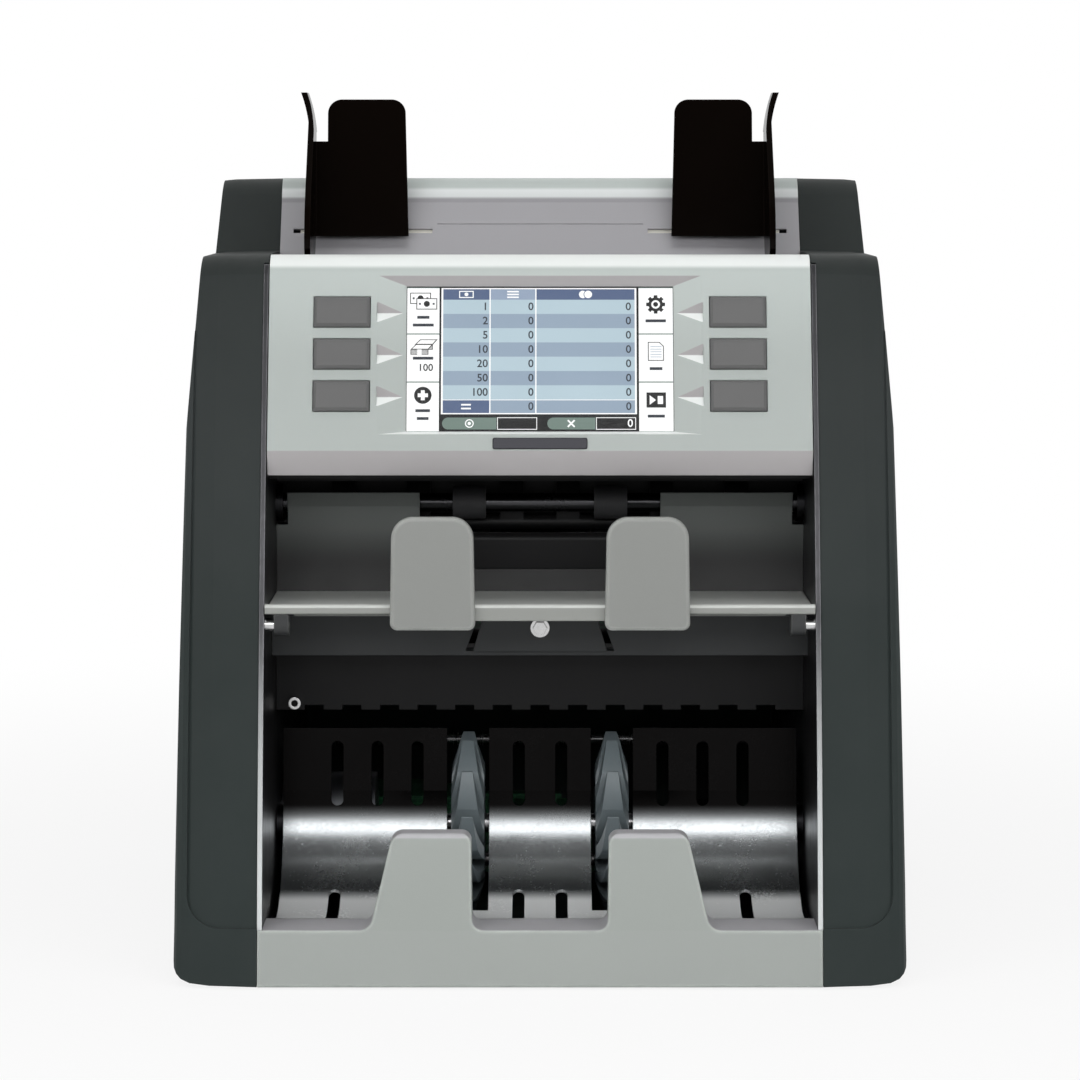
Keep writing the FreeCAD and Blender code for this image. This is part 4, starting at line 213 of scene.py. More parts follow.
rough = arithmetic(group, "SUBTRACT", (patches, "Fac"), NOISE_MIDDLE)
rough = arithmetic(group, "MULTIPLY", rough, (inside, "Rough Spread"))
rough = arithmetic(group, "MULTIPLY", rough, NOISE_GAIN)
rough = arithmetic(group, "ADD", rough, (inside, "Roughness"), clamp=True)
join(group, *rough, outside, "Roughness")
tell(group)

# %% [markdown]
# ## Edge wear and painted highlights
#
# No moulded or bent edge is truly sharp, and hands polish the edges first. The Bevel node rounds
# the shading of an edge, and where its normal leaves the real one there is an edge nearby: that
# gives a mask too. A paler tone is laid on that mask. Where it is faint it is edge wear, and where
# it is strong, as on the front cover, the note stops, the panel and the frames, it is a painted
# highlight along the edge. A bevel modifier would round the mesh itself, but the parts' meshes
# stay as they were made.

# %% Group: edge_wear_and_highlight
EDGE_GAIN, WEAR_AND_HIGHLIGHT_GAIN = 5, 2

group, inside, outside = new_group(
    "edge_wear_and_highlight",
    {"Radius": ("Float", 0.0006), "Wear": ("Float", 0.3)},
    {"Mask": "Float", "Normal": "Vector"})
soft = add(group, "Bevel", samples=4)
face = add(group, "NewGeometry")
join(group, inside, "Radius", soft, "Radius")
join(group, soft, "Normal", outside, "Normal")
agree = add(group, "VectorMath", operation="DOT_PRODUCT")
join(group, soft, "Normal", agree, 0)
join(group, face, "Normal", agree, 1)
# An edge lies where the softened normal leaves the face's own. The paler tone laid there is edge wear,
# and with a high Wear it is a painted highlight.
edge = arithmetic(group, "SUBTRACT", 1, (agree, "Value"))
edge = arithmetic(group, "MULTIPLY", edge, EDGE_GAIN, clamp=True)
uneven = noise(group, Scale=120, Detail=3)
edge = arithmetic(group, "MULTIPLY", edge, (uneven, "Fac"))
edge = arithmetic(group, "MULTIPLY", edge, (inside, "Wear"))
edge = arithmetic(group, "MULTIPLY", edge, WEAR_AND_HIGHLIGHT_GAIN, clamp=True)
join(group, *edge, outside, "Mask")
tell(group)

# %% [markdown]
# ## Settled dust
#
# A counter handles paper, so a thin bloom of paper dust lies on everything that faces up. The
# mask is the upward part of the normal, taken in the part's own frame so that it stays put when
# a flap is opened, broken up by noise.

# %% Group: settled_dust
group, inside, outside = new_group("settled_dust", {"Amount": ("Float", 0.1)}, {"Mask": "Float"})
facing = axes(group, "Normal")
cloud = noise(group, Scale=70, Detail=5, Roughness=0.7)
lying = arithmetic(group, "MULTIPLY", (facing, "Z"), (facing, "Z"))
upward = arithmetic(group, "GREATER_THAN", (facing, "Z"), 0.0)
lying = arithmetic(group, "MULTIPLY", lying, upward)
lying = arithmetic(group, "MULTIPLY", lying, (cloud, "Fac"))
lying = arithmetic(group, "MULTIPLY", lying, (inside, "Amount"), clamp=True)
join(group, *lying, outside, "Mask")
tell(group)

# %% [markdown]
# ## Brushed lines
#
# Rolled and brushed steel carries fine lines in one direction. Stretching the coordinates of a
# noise texture along that direction draws them: the input Stretch says how many lines there are
# to a metre along each axis.

# %% Group: brushed_lines
group, inside, outside = new_group(
    "brushed_lines", {"Stretch": ("Vector", (8, 1500, 1500))}, {"Lines": "Float"})
place_on = add(group, "TexCoord")
pulled = add(group, "VectorMath", operation="MULTIPLY")
join(group, place_on, "Object", pulled, 0)
join(group, inside, "Stretch", pulled, 1)
strokes = add(group, "TexNoise", Scale=1, Detail=4, Roughness=0.7)
join(group, pulled, "Vector", strokes, "Vector")
join(group, strokes, "Fac", outside, "Lines")
tell(group)

# %% [markdown]
# ## A change with height
#
# The stacker plate has a painted highlight low down and a painted shade higher up, the hopper a
# painted highlight on its crest, and the covers, the panel and the pocket guide painted light and
# shade that change with height. A mask that rises smoothly between two heights, in the part's own
# frame, lets a material change there. Painting the mesh would do too, but needs vertex colours.

# %% Group: height_mask
group, inside, outside = new_group(
    "height_mask", {"Low": ("Float", 0.05), "High": ("Float", 0.06)}, {"Mask": "Float"})
spot = axes(group, "Object")
rise = add(group, "MapRange", interpolation_type="SMOOTHSTEP")
join(group, spot, "Z", rise, "Value")
join(group, inside, "Low", rise, "From Min")
join(group, inside, "High", rise, "From Max")
join(group, rise, "Result", outside, "Mask")
tell(group)

# %% [markdown]
# ## The cut edge of a sheet
#
# A sheet of plated steel is bare where the punch cut it, and its narrow front edge shines as a
# bright line. Here that line is a painted highlight: a pale colour on the faces that look straight
# to the front, found from the normal in the part's own frame.

# %% Group: front_faces
group, inside, outside = new_group("front_faces", {"Limit": ("Float", 0.85)}, {"Mask": "Float"})
facing = axes(group, "Normal")
ahead = arithmetic(group, "MULTIPLY", (facing, "Y"), -1)
ahead = arithmetic(group, "GREATER_THAN", ahead, (inside, "Limit"))
join(group, *ahead, outside, "Mask")
tell(group)

# %% [markdown]
# ## Facets and hanging corners
#
# A facet that leans up catches the light and one that leans down loses it. The first mask here
# compares the normal with a given direction, so that a moulding can be paler or deeper on its
# slanted faces. The second finds what hangs low at the two ends of a wide part, such as the ears
# under the reject tray.

# %% Groups: slant_mask and low_corners
LEAN_LOW, LEAN_FULL = 0.12, 0.35

group, inside, outside = new_group("slant_mask", {"Way": ("Vector", (0, 0, 1))}, {"Mask": "Float"})
place_on = add(group, "TexCoord")
agree = add(group, "VectorMath", operation="DOT_PRODUCT")
join(group, place_on, "Normal", agree, 0)
join(group, inside, "Way", agree, 1)
lean = add(group, "MapRange", From_Min=LEAN_LOW, From_Max=LEAN_FULL,
           interpolation_type="SMOOTHSTEP")
join(group, agree, "Value", lean, "Value")
join(group, lean, "Result", outside, "Mask")
tell(group)

group, inside, outside = new_group(
    "low_corners", {"Reach": ("Float", 0.1), "Height": ("Float", 0.15)}, {"Mask": "Float"})
spot = axes(group, "Object")
outer = arithmetic(group, "ABSOLUTE", (spot, "X"))
outer = arithmetic(group, "GREATER_THAN", outer, (inside, "Reach"))
low = arithmetic(group, "LESS_THAN", (spot, "Z"), (inside, "Height"))
both = arithmetic(group, "MULTIPLY", outer, low)
join(group, *both, outside, "Mask")
tell(group)

# %% [markdown]
# ## Shaft or tyre
#
# A roller part is a steel shaft with rubber tyres on it. Both are one solid, so the material
# asks how far a point is from the shaft's axis: inside the shaft's radius it is steel, outside
# it is rubber. Two materials on separate faces would do as well, but then the mesh would have to
# be touched.

# %% Group: near_axis
group, inside, outside = new_group(
    "near_axis",
    {"Depth": ("Float", 0.0), "Height": ("Float", 0.0), "Radius": ("Float", 0.004)},
    {"Mask": "Float"})
spot = axes(group, "Object")
back = arithmetic(group, "SUBTRACT", (spot, "Y"), (inside, "Depth"))
rise = arithmetic(group, "SUBTRACT", (spot, "Z"), (inside, "Height"))
back = arithmetic(group, "MULTIPLY", back, back)
rise = arithmetic(group, "MULTIPLY", rise, rise)
away = arithmetic(group, "ADD", back, rise)
away = arithmetic(group, "SQRT", away)
near = arithmetic(group, "LESS_THAN", away, (inside, "Radius"))
join(group, *near, outside, "Mask")
tell(group)

# %% [markdown]
# ## Moulded plastic as a material
#
# One function makes every plastic: it places the grain, edge and dust groups, mixes a paler
# edge tone, edge wear with a painted highlight where it is strong, and a dust tone over the
# colour, and lets the grain stand on the softened normal. Bands of painted light and shade change
# the colour above a height in millimetres, slants of painted light and shade on faces that look
# one way, and corners where a part hangs low at its ends. What differs between the covers, the
# panel and the keys is only the values.

# %% How a plastic is made
DUST_TONE = (0.6, 0.58, 0.55, 1)
GRAIN_STEP = 0.1 * MM
LIFT = 0.01
MIX_FACTOR, MIX_BELOW, MIX_OVER, MIX_RESULT = 0, 6, 7, 2


def empty_tree(owner):
    """The node tree of a new material or world, with nothing in it."""
    owner.use_nodes = True
    owner.node_tree.nodes.clear()
    return owner.node_tree


def start_material(name, **shader_values):
    material = bpy.data.materials.new(name)
    tree = empty_tree(material)
    shader = add(tree, "BsdfPrincipled", **shader_values)
    result = add(tree, "OutputMaterial")
    join(tree, shader, "BSDF", result, "Surface")
    return material, tree, shader


def blend_colour(tree, below, over, factor):
    """Lays a colour, or another node's colour, over one where the factor says."""
    mix = add(tree, "Mix", data_type="RGBA")
    join(tree, *below, mix, MIX_BELOW)
    if isinstance(over[0], (float, int)):
        mix.inputs[MIX_OVER].default_value = over
    else:
        join(tree, *over, mix, MIX_OVER)
    join(tree, *factor, mix, MIX_FACTOR)
    return (mix, MIX_RESULT)


def lighter(colour, gain):
    return tuple(min(1.0, part * gain + LIFT) for part in colour[:3]) + (1,)


def above(tree, low, high):
    """A mask that is 0 below the first height, in millimetres, and 1 above the second."""
    return (place(tree, "height_mask", Low=low * MM, High=high * MM), "Mask")


def raise_grain(tree, shader, height, depth, normal=None):
    """A shallow bump from a height, on the softened normal where there is one."""
    bump = add(tree, "Bump", Strength=depth, Distance=GRAIN_STEP)
    join(tree, *height, bump, "Height")
    if normal:
        join(tree, *normal, bump, "Normal")
    join(tree, bump, "Normal", shader, "Normal")


def moulded(name, colour, roughness, grain=1500, depth=0.25, tone=0.02, spread=0.06,
            radius=0.0007, wear=0.25, gain=1.7, dust=0.05, bands=(), slants=(), corners=None,
            **shader_values):
    material, tree, shader = start_material(name, **shader_values)
    surface = place(tree, "moulded_grain", Colour=colour, Grain_Scale=grain, Tone_Shift=tone,
                    Roughness=roughness, Rough_Spread=spread)
    edges = place(tree, "edge_wear_and_highlight", Radius=radius, Wear=wear)
    settled = place(tree, "settled_dust", Amount=dust)
    body = (surface, "Colour")
    # Painted light and shade: a paler or darker colour above a height.
    for tint, low, high in bands:
        body = blend_colour(tree, body, tint, above(tree, low, high))
    # Painted light and shade: a paler or darker colour on faces that look one way.
    for tint, way in slants:
        facing = place(tree, "slant_mask", Way=way)
        body = blend_colour(tree, body, tint, (facing, "Mask"))
    if corners:
        tint, reach, height = corners
        hanging = place(tree, "low_corners", Reach=reach * MM, Height=height * MM)
        body = blend_colour(tree, body, tint, (hanging, "Mask"))
    # A paler tone on the edges: edge wear, and a painted highlight where it is strong.
    edge_wear_and_highlight_tone = blend_colour(tree, body, lighter(colour, gain), (edges, "Mask"))
    dusted = blend_colour(tree, edge_wear_and_highlight_tone, DUST_TONE, (settled, "Mask"))
    join(tree, *dusted, shader, "Base Color")
    join(tree, surface, "Roughness", shader, "Roughness")
    raise_grain(tree, shader, (surface, "Height"), depth, (edges, "Normal"))
    return material


print("plastics can be made")

# %% [markdown]
# ## The plastics of this machine
#
# The side covers are near black. Painted light makes them a little paler towards the top, and a
# painted shade darkens their faces that look up. The panel, the hopper and the front are pale
# greys. Painted highlights make their slanted facets, crests and ledges paler still, and a painted
# shade deepens the panel's lip that looks down. Painted light makes the tray's top faces paler.
# Soft light alone gave these steps too weakly, so the colour carries them. The tray has dark ears
# at its ends. The keys are a middle grey, and the display module is nearly black where it is not
# lit.

# %% Plastics
PANEL_LEAN = math.radians(17.4)
UP_FACE = Vector((0, math.sin(PANEL_LEAN), math.cos(PANEL_LEAN)))
UPWARD = Vector((0, 0, 1))

PLASTICS = {
    # Painted light: paler from 130 to 275 mm and darker again above 280 mm; painted shade on faces that
    # look up.
    "cover_plastic": dict(
        colour=paint(43, 51, 50), roughness=0.62, dust=0.02, Specular_IOR_Level=0.22,
        bands=[(paint(74, 78, 79), 130, 275), (paint(53, 59, 60), 280, 310)],
        slants=[(paint(37, 42, 41), UPWARD)]),
    # Painted light paler towards the top, a painted highlight on faces that lean up, a painted shade on
    # faces that lean down, and painted highlights along the edges.
    "panel_plastic": dict(
        colour=paint(174, 181, 178), roughness=0.42, grain=2200, depth=0.15, tone=0.012, dust=0.0,
        gain=1.3, wear=0.6, bands=[(paint(188, 196, 193), 245, 288)],
        slants=[(paint(236, 240, 238), UP_FACE), (paint(170, 167, 168), -UP_FACE)]),
    # A painted highlight on the crest, from 315 to 316.5 mm, and painted light on the roof above.
    "hopper_plastic": dict(
        colour=paint(159, 158, 162), roughness=0.32, tone=0.012, spread=0.025, dust=0.02,
        gain=1.6, wear=0.4, radius=0.0003,
        bands=[(paint(226, 230, 230), 315, 316.5), (paint(184, 192, 189), 318.8, 320.5)]),
    # Painted light on the ledges that look up, and a strong painted highlight along the edges.
    "front_plastic": dict(
        colour=paint(162, 168, 163), roughness=0.42, tone=0.012, dust=0.02,
        gain=1.9, wear=1.0, radius=0.0022, slants=[(paint(188, 187, 191), UPWARD)]),
    # Painted light on the faces that look up; dark ears at both ends.
    "tray_plastic": dict(
        colour=paint(150, 152, 148), roughness=0.45, tone=0.015, dust=0.04, gain=1.35,
        radius=0.001, slants=[(paint(208, 211, 207), UPWARD)],
        corners=(paint(38, 40, 41), 100, 148.5)),
    "key_plastic": dict(
        colour=paint(104, 104, 104), roughness=0.55, grain=1900, dust=0.0, gain=1.3,
        radius=0.0005, Specular_IOR_Level=0.3),
    "wheel_plastic": dict(
        colour=paint(107, 117, 121), roughness=0.38, depth=0.1, dust=0.02, gain=1.5, radius=0.0003),
    "black_plastic": dict(
        colour=paint(16, 16, 17), roughness=0.4, dust=0.02, wear=0.15, Specular_IOR_Level=0.15),
    "dark_plastic": dict(
        colour=paint(48, 50, 51), roughness=0.5, dust=0.02, wear=0.2, Specular_IOR_Level=0.3),
    "white_plastic": dict(
        colour=paint(226, 224, 214), roughness=0.4, depth=0.08, dust=0.02, gain=1.05, radius=0.0003),
    "rubber": dict(
        colour=paint(34, 34, 36), roughness=0.75, grain=2600, depth=0.4, dust=0.1, wear=0.1),
    "screen": dict(
        colour=paint(10, 10, 12), roughness=0.35, grain=3000, depth=0.1, dust=0.0, wear=0.05),
}
finishes = {name: moulded(name, **values) for name, values in PLASTICS.items()}
print(len(finishes), "plastics")

# %% [markdown]
# ## Smoked plastic
#
# The two note guides on the hopper are plastic tinted so deep a brown that no light comes
# through in this room. Transmission with a dark base colour is another way, but against a white
# background it turns the guides grey, so a warm, almost black colour with a low specular level
# is used. Handling leaves them slightly smeared, so the roughness wanders.

# %% Smoked guides
material, tree, shader = start_material("smoked_plastic", IOR=1.3, Specular_IOR_Level=0.02)
surface = place(tree, "moulded_grain", Colour=paint(11, 7, 5), Grain_Scale=300, Tone_Shift=0.1,
                Roughness=0.1, Rough_Spread=0.08)
edges = place(tree, "edge_wear_and_highlight", Radius=0.0008, Wear=0.2)
edge_wear_and_highlight_tone = blend_colour(tree, (surface, "Colour"), paint(44, 36, 36), (edges, "Mask"))
join(tree, *edge_wear_and_highlight_tone, shader, "Base Color")
join(tree, surface, "Roughness", shader, "Roughness")
join(tree, edges, "Normal", shader, "Normal")
finishes["smoked_plastic"] = material
print("made", material.name)

# %% [markdown]
# ## Steel
#
# The machine has several steels: the zinc-plated frame, the stacker plate that the notes land
# on, ground shafts, the motor's shell and small bright fasteners. All share the brushed lines,
# which change the tone and the roughness a little and stand up as a very shallow bump. On the
# plate the lines are as short as they are wide, which gives the grain of galvanised sheet. The
# plate carries a nearly black painted shade above one height and a white painted highlight, with
# less metal, below another. The frames' bare cut front edge is a painted highlight too, and their
# other edges carry strong painted highlights.

# %% Steels
STREAK_SHADE = 0.82


def steel(name, colour, roughness, stretch, spread=0.12, depth=0.05, radius=0.0004, gain=1.2,
          wear=0.3, painted_shade_above=None, painted_highlight_below=None, bare_edge_painted_highlight=None, metal=1.0):
    material, tree, shader = start_material(name, Metallic=metal)
    lines = place(tree, "brushed_lines", Stretch=stretch)
    edges = place(tree, "edge_wear_and_highlight", Radius=radius, Wear=wear)
    tone = place(tree, "moulded_grain", Colour=colour, Grain_Scale=400, Tone_Shift=0.03,
                 Roughness=roughness, Rough_Spread=0.05)
    dark = tuple(part * STREAK_SHADE for part in colour[:3]) + (1,)
    streaked = blend_colour(tree, (tone, "Colour"), dark, (lines, "Lines"))
    bright = blend_colour(tree, streaked, lighter(colour, gain), (edges, "Mask"))
    # Painted shade: a dark colour above a height.
    if painted_shade_above:
        painted_shade_colour, *heights = painted_shade_above
        bright = blend_colour(tree, bright, painted_shade_colour, above(tree, *heights))
    # Painted highlight: a white colour with less metal below a height.
    if painted_highlight_below:
        painted_highlight_colour, *heights = painted_highlight_below
        above_painted_highlight = above(tree, *heights)
        bright = blend_colour(tree, bright, painted_highlight_colour, arithmetic(tree, "SUBTRACT", 1, above_painted_highlight))
        share = arithmetic(tree, "MULTIPLY", above_painted_highlight, metal)
        join(tree, *share, shader, "Metallic")
    # The bare cut edge as a painted highlight: a pale colour without metal on faces that look to the
    # front, below a height.
    if bare_edge_painted_highlight:
        bare_edge_highlight_colour, *heights = bare_edge_painted_highlight
        ahead = place(tree, "front_faces")
        bare_edge_highlight_mask = arithmetic(tree, "SUBTRACT", (ahead, "Mask"), above(tree, *heights), clamp=True)
        bright = blend_colour(tree, bright, bare_edge_highlight_colour, bare_edge_highlight_mask)
        share = arithmetic(tree, "SUBTRACT", metal, bare_edge_highlight_mask, clamp=True)
        join(tree, *share, shader, "Metallic")
    join(tree, *bright, shader, "Base Color")
    varied = arithmetic(tree, "SUBTRACT", (lines, "Lines"), NOISE_MIDDLE)
    varied = arithmetic(tree, "MULTIPLY", varied, spread * 2)
    varied = arithmetic(tree, "ADD", varied, (tone, "Roughness"), clamp=True)
    join(tree, *varied, shader, "Roughness")
    raise_grain(tree, shader, (lines, "Lines"), depth, (edges, "Normal"))
    return material


STEELS = {
    # Painted highlights: strong pale edges, and a pale bare cut edge on the front faces below 20 to 150
    # mm.
    "frame_steel": dict(
        colour=paint(66, 66, 68), roughness=0.4, stretch=(900, 900, 12), radius=0.0008, gain=6,
        wear=0.9, bare_edge_painted_highlight=(paint(222, 226, 226), 20, 150)),
    # Painted shade, nearly black, above 46 to 60 mm; a white painted highlight below 24 to 28 mm.
    "plate_steel": dict(
        colour=paint(180, 184, 186), roughness=0.24, stretch=(800, 800, 800), spread=0.1, metal=0.93,
        painted_shade_above=(paint(8, 7, 7), 46, 60), painted_highlight_below=(paint(252, 254, 254), 24, 28)),
    "shaft_steel": dict(colour=paint(190, 190, 192), roughness=0.25, stretch=(1500, 30, 30)),
    "bright_steel": dict(colour=paint(205, 205, 205), roughness=0.2, stretch=(700, 700, 700)),
    "motor_metal": dict(colour=paint(120, 122, 126), roughness=0.45, stretch=(1200, 40, 40)),
}
for name, values in STEELS.items():
    finishes[name] = steel(name, **values)
print(len(finishes), "finishes so far")

# %% [markdown]
# ## Rollers
#
# Each roller part gets its own copy of the two-in-one material, because each has its own axis.
# The axis is the middle of the part's box, and the steel reaches out to the shaft's radius. The
# exit rollers stand in the dark of the reject pocket, on a dull shaft.

# %% Roller materials
SHAFT_RADIUS = 4.05
BRIGHT_SHAFT, DULL_SHAFT = paint(188, 188, 190), paint(62, 62, 64)
ROLLER_PARTS = ("exit_rollers", "feed_rollers", "lower_transport_rollers", "pickup_rollers",
                "retard_rollers", "upper_transport_rollers")


def roller_material(node):
    ground = DULL_SHAFT if node == "exit_rollers" else BRIGHT_SHAFT
    low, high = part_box(node)
    middle = (low + high) / 2
    material, tree, shader = start_material(node + "_finish")
    steel_here = place(tree, "near_axis", Depth=middle.y, Height=middle.z,
                       Radius=SHAFT_RADIUS * MM)
    tyre = place(tree, "moulded_grain", Colour=paint(36, 36, 38), Grain_Scale=2400, Tone_Shift=0.06,
                 Roughness=0.72, Rough_Spread=0.08)
    shaft = place(tree, "moulded_grain", Colour=ground, Grain_Scale=900,
                  Tone_Shift=0.02, Roughness=0.25, Rough_Spread=0.08)
    colour = blend_colour(tree, (tyre, "Colour"), (shaft, "Colour"), (steel_here, "Mask"))
    join(tree, *colour, shader, "Base Color")
    join(tree, steel_here, "Mask", shader, "Metallic")
    gap = arithmetic(tree, "SUBTRACT", (shaft, "Roughness"), (tyre, "Roughness"))
    rough = arithmetic(tree, "MULTIPLY", gap, (steel_here, "Mask"))
    rough = arithmetic(tree, "ADD", rough, (tyre, "Roughness"), clamp=True)
    join(tree, *rough, shader, "Roughness")
    raise_grain(tree, shader, (tyre, "Height"), 0.3)
    return material


own_finishes = {node: roller_material(node) for node in ROLLER_PARTS}
print("rollers", sorted(own_finishes))

# %% [markdown]
# ## Circuit boards
#
# The boards inside show only when the panel is open. Green lacquer with copper runs under it is
# drawn by a brick texture, whose mortar lines look like tracks, and noise varies the lacquer.

# %% Boards
material, tree, shader = start_material("board", Coat_Weight=0.4, Coat_Roughness=0.15)
place_on = add(tree, "TexCoord")
turned = add(tree, "Mapping", Rotation=(math.radians(73), 0, 0))
join(tree, place_on, "Object", turned, "Vector")
tracks = add(tree, "TexBrick", Scale=130, Mortar_Size=0.03, Color1=paint(18, 74, 44),
             Color2=paint(14, 62, 38), Mortar=paint(46, 112, 70))
join(tree, turned, "Vector", tracks, "Vector")
lacquer = place(tree, "moulded_grain", Colour=paint(20, 80, 48), Grain_Scale=500, Tone_Shift=0.1,
                Roughness=0.4, Rough_Spread=0.1)
colour = blend_colour(tree, (tracks, "Color"), (lacquer, "Colour"), (lacquer, "Height"))
join(tree, *colour, shader, "Base Color")
join(tree, lacquer, "Roughness", shader, "Roughness")
raise_grain(tree, shader, (tracks, "Fac"), 0.2)
finishes["board"] = material
print("made", material.name)

# %% [markdown]
# ## Screen glass
#
# The window over the screen is a clear plate, so it keeps a plain transmission, and only its
# gloss is smeared by fingers.

# %% Glass
material, tree, shader = start_material("screen_glass", Transmission_Weight=1.0, IOR=1.5)
smear = place(tree, "moulded_grain", Colour=(0.97, 0.98, 0.98, 1), Grain_Scale=60, Tone_Shift=0.004,
              Roughness=0.03, Rough_Spread=0.03)
join(tree, smear, "Colour", shader, "Base Color")
join(tree, smear, "Roughness", shader, "Roughness")
finishes["screen_glass"] = material
print(len(finishes), "finishes in all")

# %% [markdown]
# ## Three parts with a finish of their own
#
# The two note stops of the reject tray are darker than the tray, and a painted highlight makes
# their rims pale. The guide behind them carries a near black painted shade at its foot and
# painted light further up, so its colour changes with height. The bearings in the frames are
# blackened steel.

# %% Note stops, pocket guide and bearings
# A painted highlight on the rims.
own_finishes["note_stops"] = moulded("stop_plastic", paint(142, 144, 141), 0.42, tone=0.015,
                                     dust=0.0, gain=2.4, radius=0.002, wear=1.0)
# Painted shade at the foot, and painted light from 160 to 186 mm up.
own_finishes["reject_back_guide"] = moulded("pocket_plastic_painted_shade_and_light", paint(9, 9, 10), 0.5, dust=0.01,
                                            wear=0.1, bands=[(paint(98, 102, 100), 160, 186)])
own_finishes["shaft_bearings"] = steel("bearing_steel", paint(44, 44, 46), 0.35, (40, 900, 900))
print("own finishes", sorted(own_finishes))

# %% [markdown]
# ## Put the finishes on the parts
#
# Every part already carries a slot named for its finish, so the slot's name picks the material.
# The rollers and the three parts above take their own instead.

# %% Assign finishes
for name, part in nodes.items():
    for slot in part.material_slots:
        slot.material = own_finishes.get(name) or finishes[slot.material.name]
print("dressed", len(nodes), "parts")

# %% [markdown]
# ## Guides with one curved lip
#
# The side of each note guide bends outwards at its top in one curve. The part has the curved lip
# and a straight edge beside it, so a copy of the mesh is trimmed here along the inside of the
# curve, with a Boolean modifier whose result is kept as the new mesh. The copy then stands for
# the part, and it slides with the same body.

# %% Trim the guides
GUIDE_REACH, GUIDE_TOP = 96.5, 358.0
LIP_DROP, LIP_RISE, LIP_OUT, LIP_SAG = 14.0, 2.8, 3.4, 0.6
LIP_STEPS = 10
SPARE, INSIDE, BEYOND = 12.0, 0.6, 10.0


def prism_faces(count, first=0):
    """The faces of a prism: two ends of so many corners, numbered from first, and its sides."""
    near, far = range(first, first + count), range(first + count, first + 2 * count)
    faces = [list(near), list(reversed(far))]
    for index in range(count):
        after = (index + 1) % count
        faces.append([near[after], near[index], far[index], far[after]])
    return faces


def lip_outline():
    """The waste inside the lip, as distance from the middle and height, in millimetres."""
    curve = []
    for step in range(LIP_STEPS + 1):
        part = step / LIP_STEPS
        reach = GUIDE_REACH + LIP_OUT * part - 4 * LIP_SAG * part * (1 - part)
        curve.append((reach, GUIDE_TOP - LIP_DROP + (LIP_DROP + LIP_RISE) * part))
    return curve + [(GUIDE_REACH + LIP_OUT, GUIDE_TOP + SPARE),
                    (GUIDE_REACH - INSIDE, GUIDE_TOP + SPARE),
                    (GUIDE_REACH - INSIDE, GUIDE_TOP - LIP_DROP)]


def trim_guide(node, body, sign):
    low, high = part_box(node)
    outline = lip_outline()
    ends = (low.y - BEYOND * MM, high.y + BEYOND * MM)
    points = [(sign * x * MM, y, z * MM) for y in ends for x, z in outline]
    faces = prism_faces(len(outline))
    if sign < 0:
        faces = [face[::-1] for face in faces]
    waste_mesh = bpy.data.meshes.new("waste")
    waste_mesh.from_pydata(points, [], faces)
    waste = show("waste", waste_mesh)
    piece = show(body + "_plate", nodes[node].data.copy())
    trim = piece.modifiers.new("trim", "BOOLEAN")
    trim.object = waste
    trim.solver = "EXACT"
    graph = bpy.context.evaluated_depsgraph_get()
    trimmed = bpy.data.meshes.new_from_object(piece.evaluated_get(graph))
    piece.modifiers.clear()
    piece.data = trimmed
    bpy.data.objects.remove(waste)
    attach(piece, body)
    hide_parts(node)
    print(piece.name, len(trimmed.polygons), "faces")


trim_guide("left_note_guide", "left_guide", -1)
trim_guide("right_note_guide", "right_guide", 1)

# %% [markdown]
# ## The light of the screen
#
# A real screen is lit from behind, through a grid of fine pixels. So its colours glow here, and
# two crossed waves run through the light as a grid, in the panel's own slanted frame, with a
# slow cloud so that no field is quite even. An image of a screen would be another way, but it
# blurs close up.

# %% Group: pixel_grid
PIXEL = 0.23 * MM
GLOW_LEAST, GLOW_SWING = 0.96, 0.08

group, inside, outside = new_group(
    "pixel_grid", {"Colour": ("Color", (1, 1, 1, 1)), "Depth": ("Float", 0.1)},
    {"Colour": "Color"})
spot = axes(group, "Object")
waves = []
for axis, pitch in (("X", PIXEL), ("Z", PIXEL * math.cos(PANEL_LEAN))):
    phase = arithmetic(group, "MULTIPLY", (spot, axis), 2 * math.pi / pitch)
    waves.append(arithmetic(group, "SINE", phase))
weave = arithmetic(group, "ADD", *waves)
weave = arithmetic(group, "MULTIPLY", weave, (inside, "Depth"))
cloud = noise(group, Scale=30, Detail=1)
glow = arithmetic(group, "MULTIPLY_ADD", (cloud, "Fac"), GLOW_SWING, GLOW_LEAST)
light = arithmetic(group, "ADD", weave, glow)
tinted = add(group, "VectorMath", operation="SCALE")
join(group, inside, "Colour", tinted, "Vector")
join(group, *light, tinted, "Scale")
join(group, tinted, "Vector", outside, "Colour")
tell(group)

# %% [markdown]
# ## Screen colours
#
# Eight colours are enough for the picture. Each is a nearly black surface that gives out its
# colour as light, so that it looks the same whichever lamp is on.

# %% Screen inks
SCREEN_OFF = (0.01, 0.01, 0.01, 1)


def lit(name, colour):
    material, tree, shader = start_material(name, Base_Color=SCREEN_OFF, Roughness=0.6,
                                            Emission_Strength=1.1)
    grid = place(tree, "pixel_grid", Colour=colour, Depth=0.04)
    join(tree, grid, "Colour", shader, "Emission Color")
    return material


screen_inks = [
    lit("screen_white", paint(252, 252, 252)), lit("screen_black", paint(8, 8, 10)),
    lit("screen_header", paint(82, 98, 131)), lit("screen_header_pale", paint(146, 161, 183)),
    lit("screen_row_pale", paint(178, 198, 208)), lit("screen_row_deep", paint(145, 162, 180)),
    lit("screen_label", paint(110, 128, 120)), lit("screen_ink", paint(38, 44, 54)),
]
WHITE, BLACK, HEADER, HEADER_PALE, ROW_PALE, ROW_DEEP, LABEL, INK = range(8)
print(len(screen_inks), "screen colours")

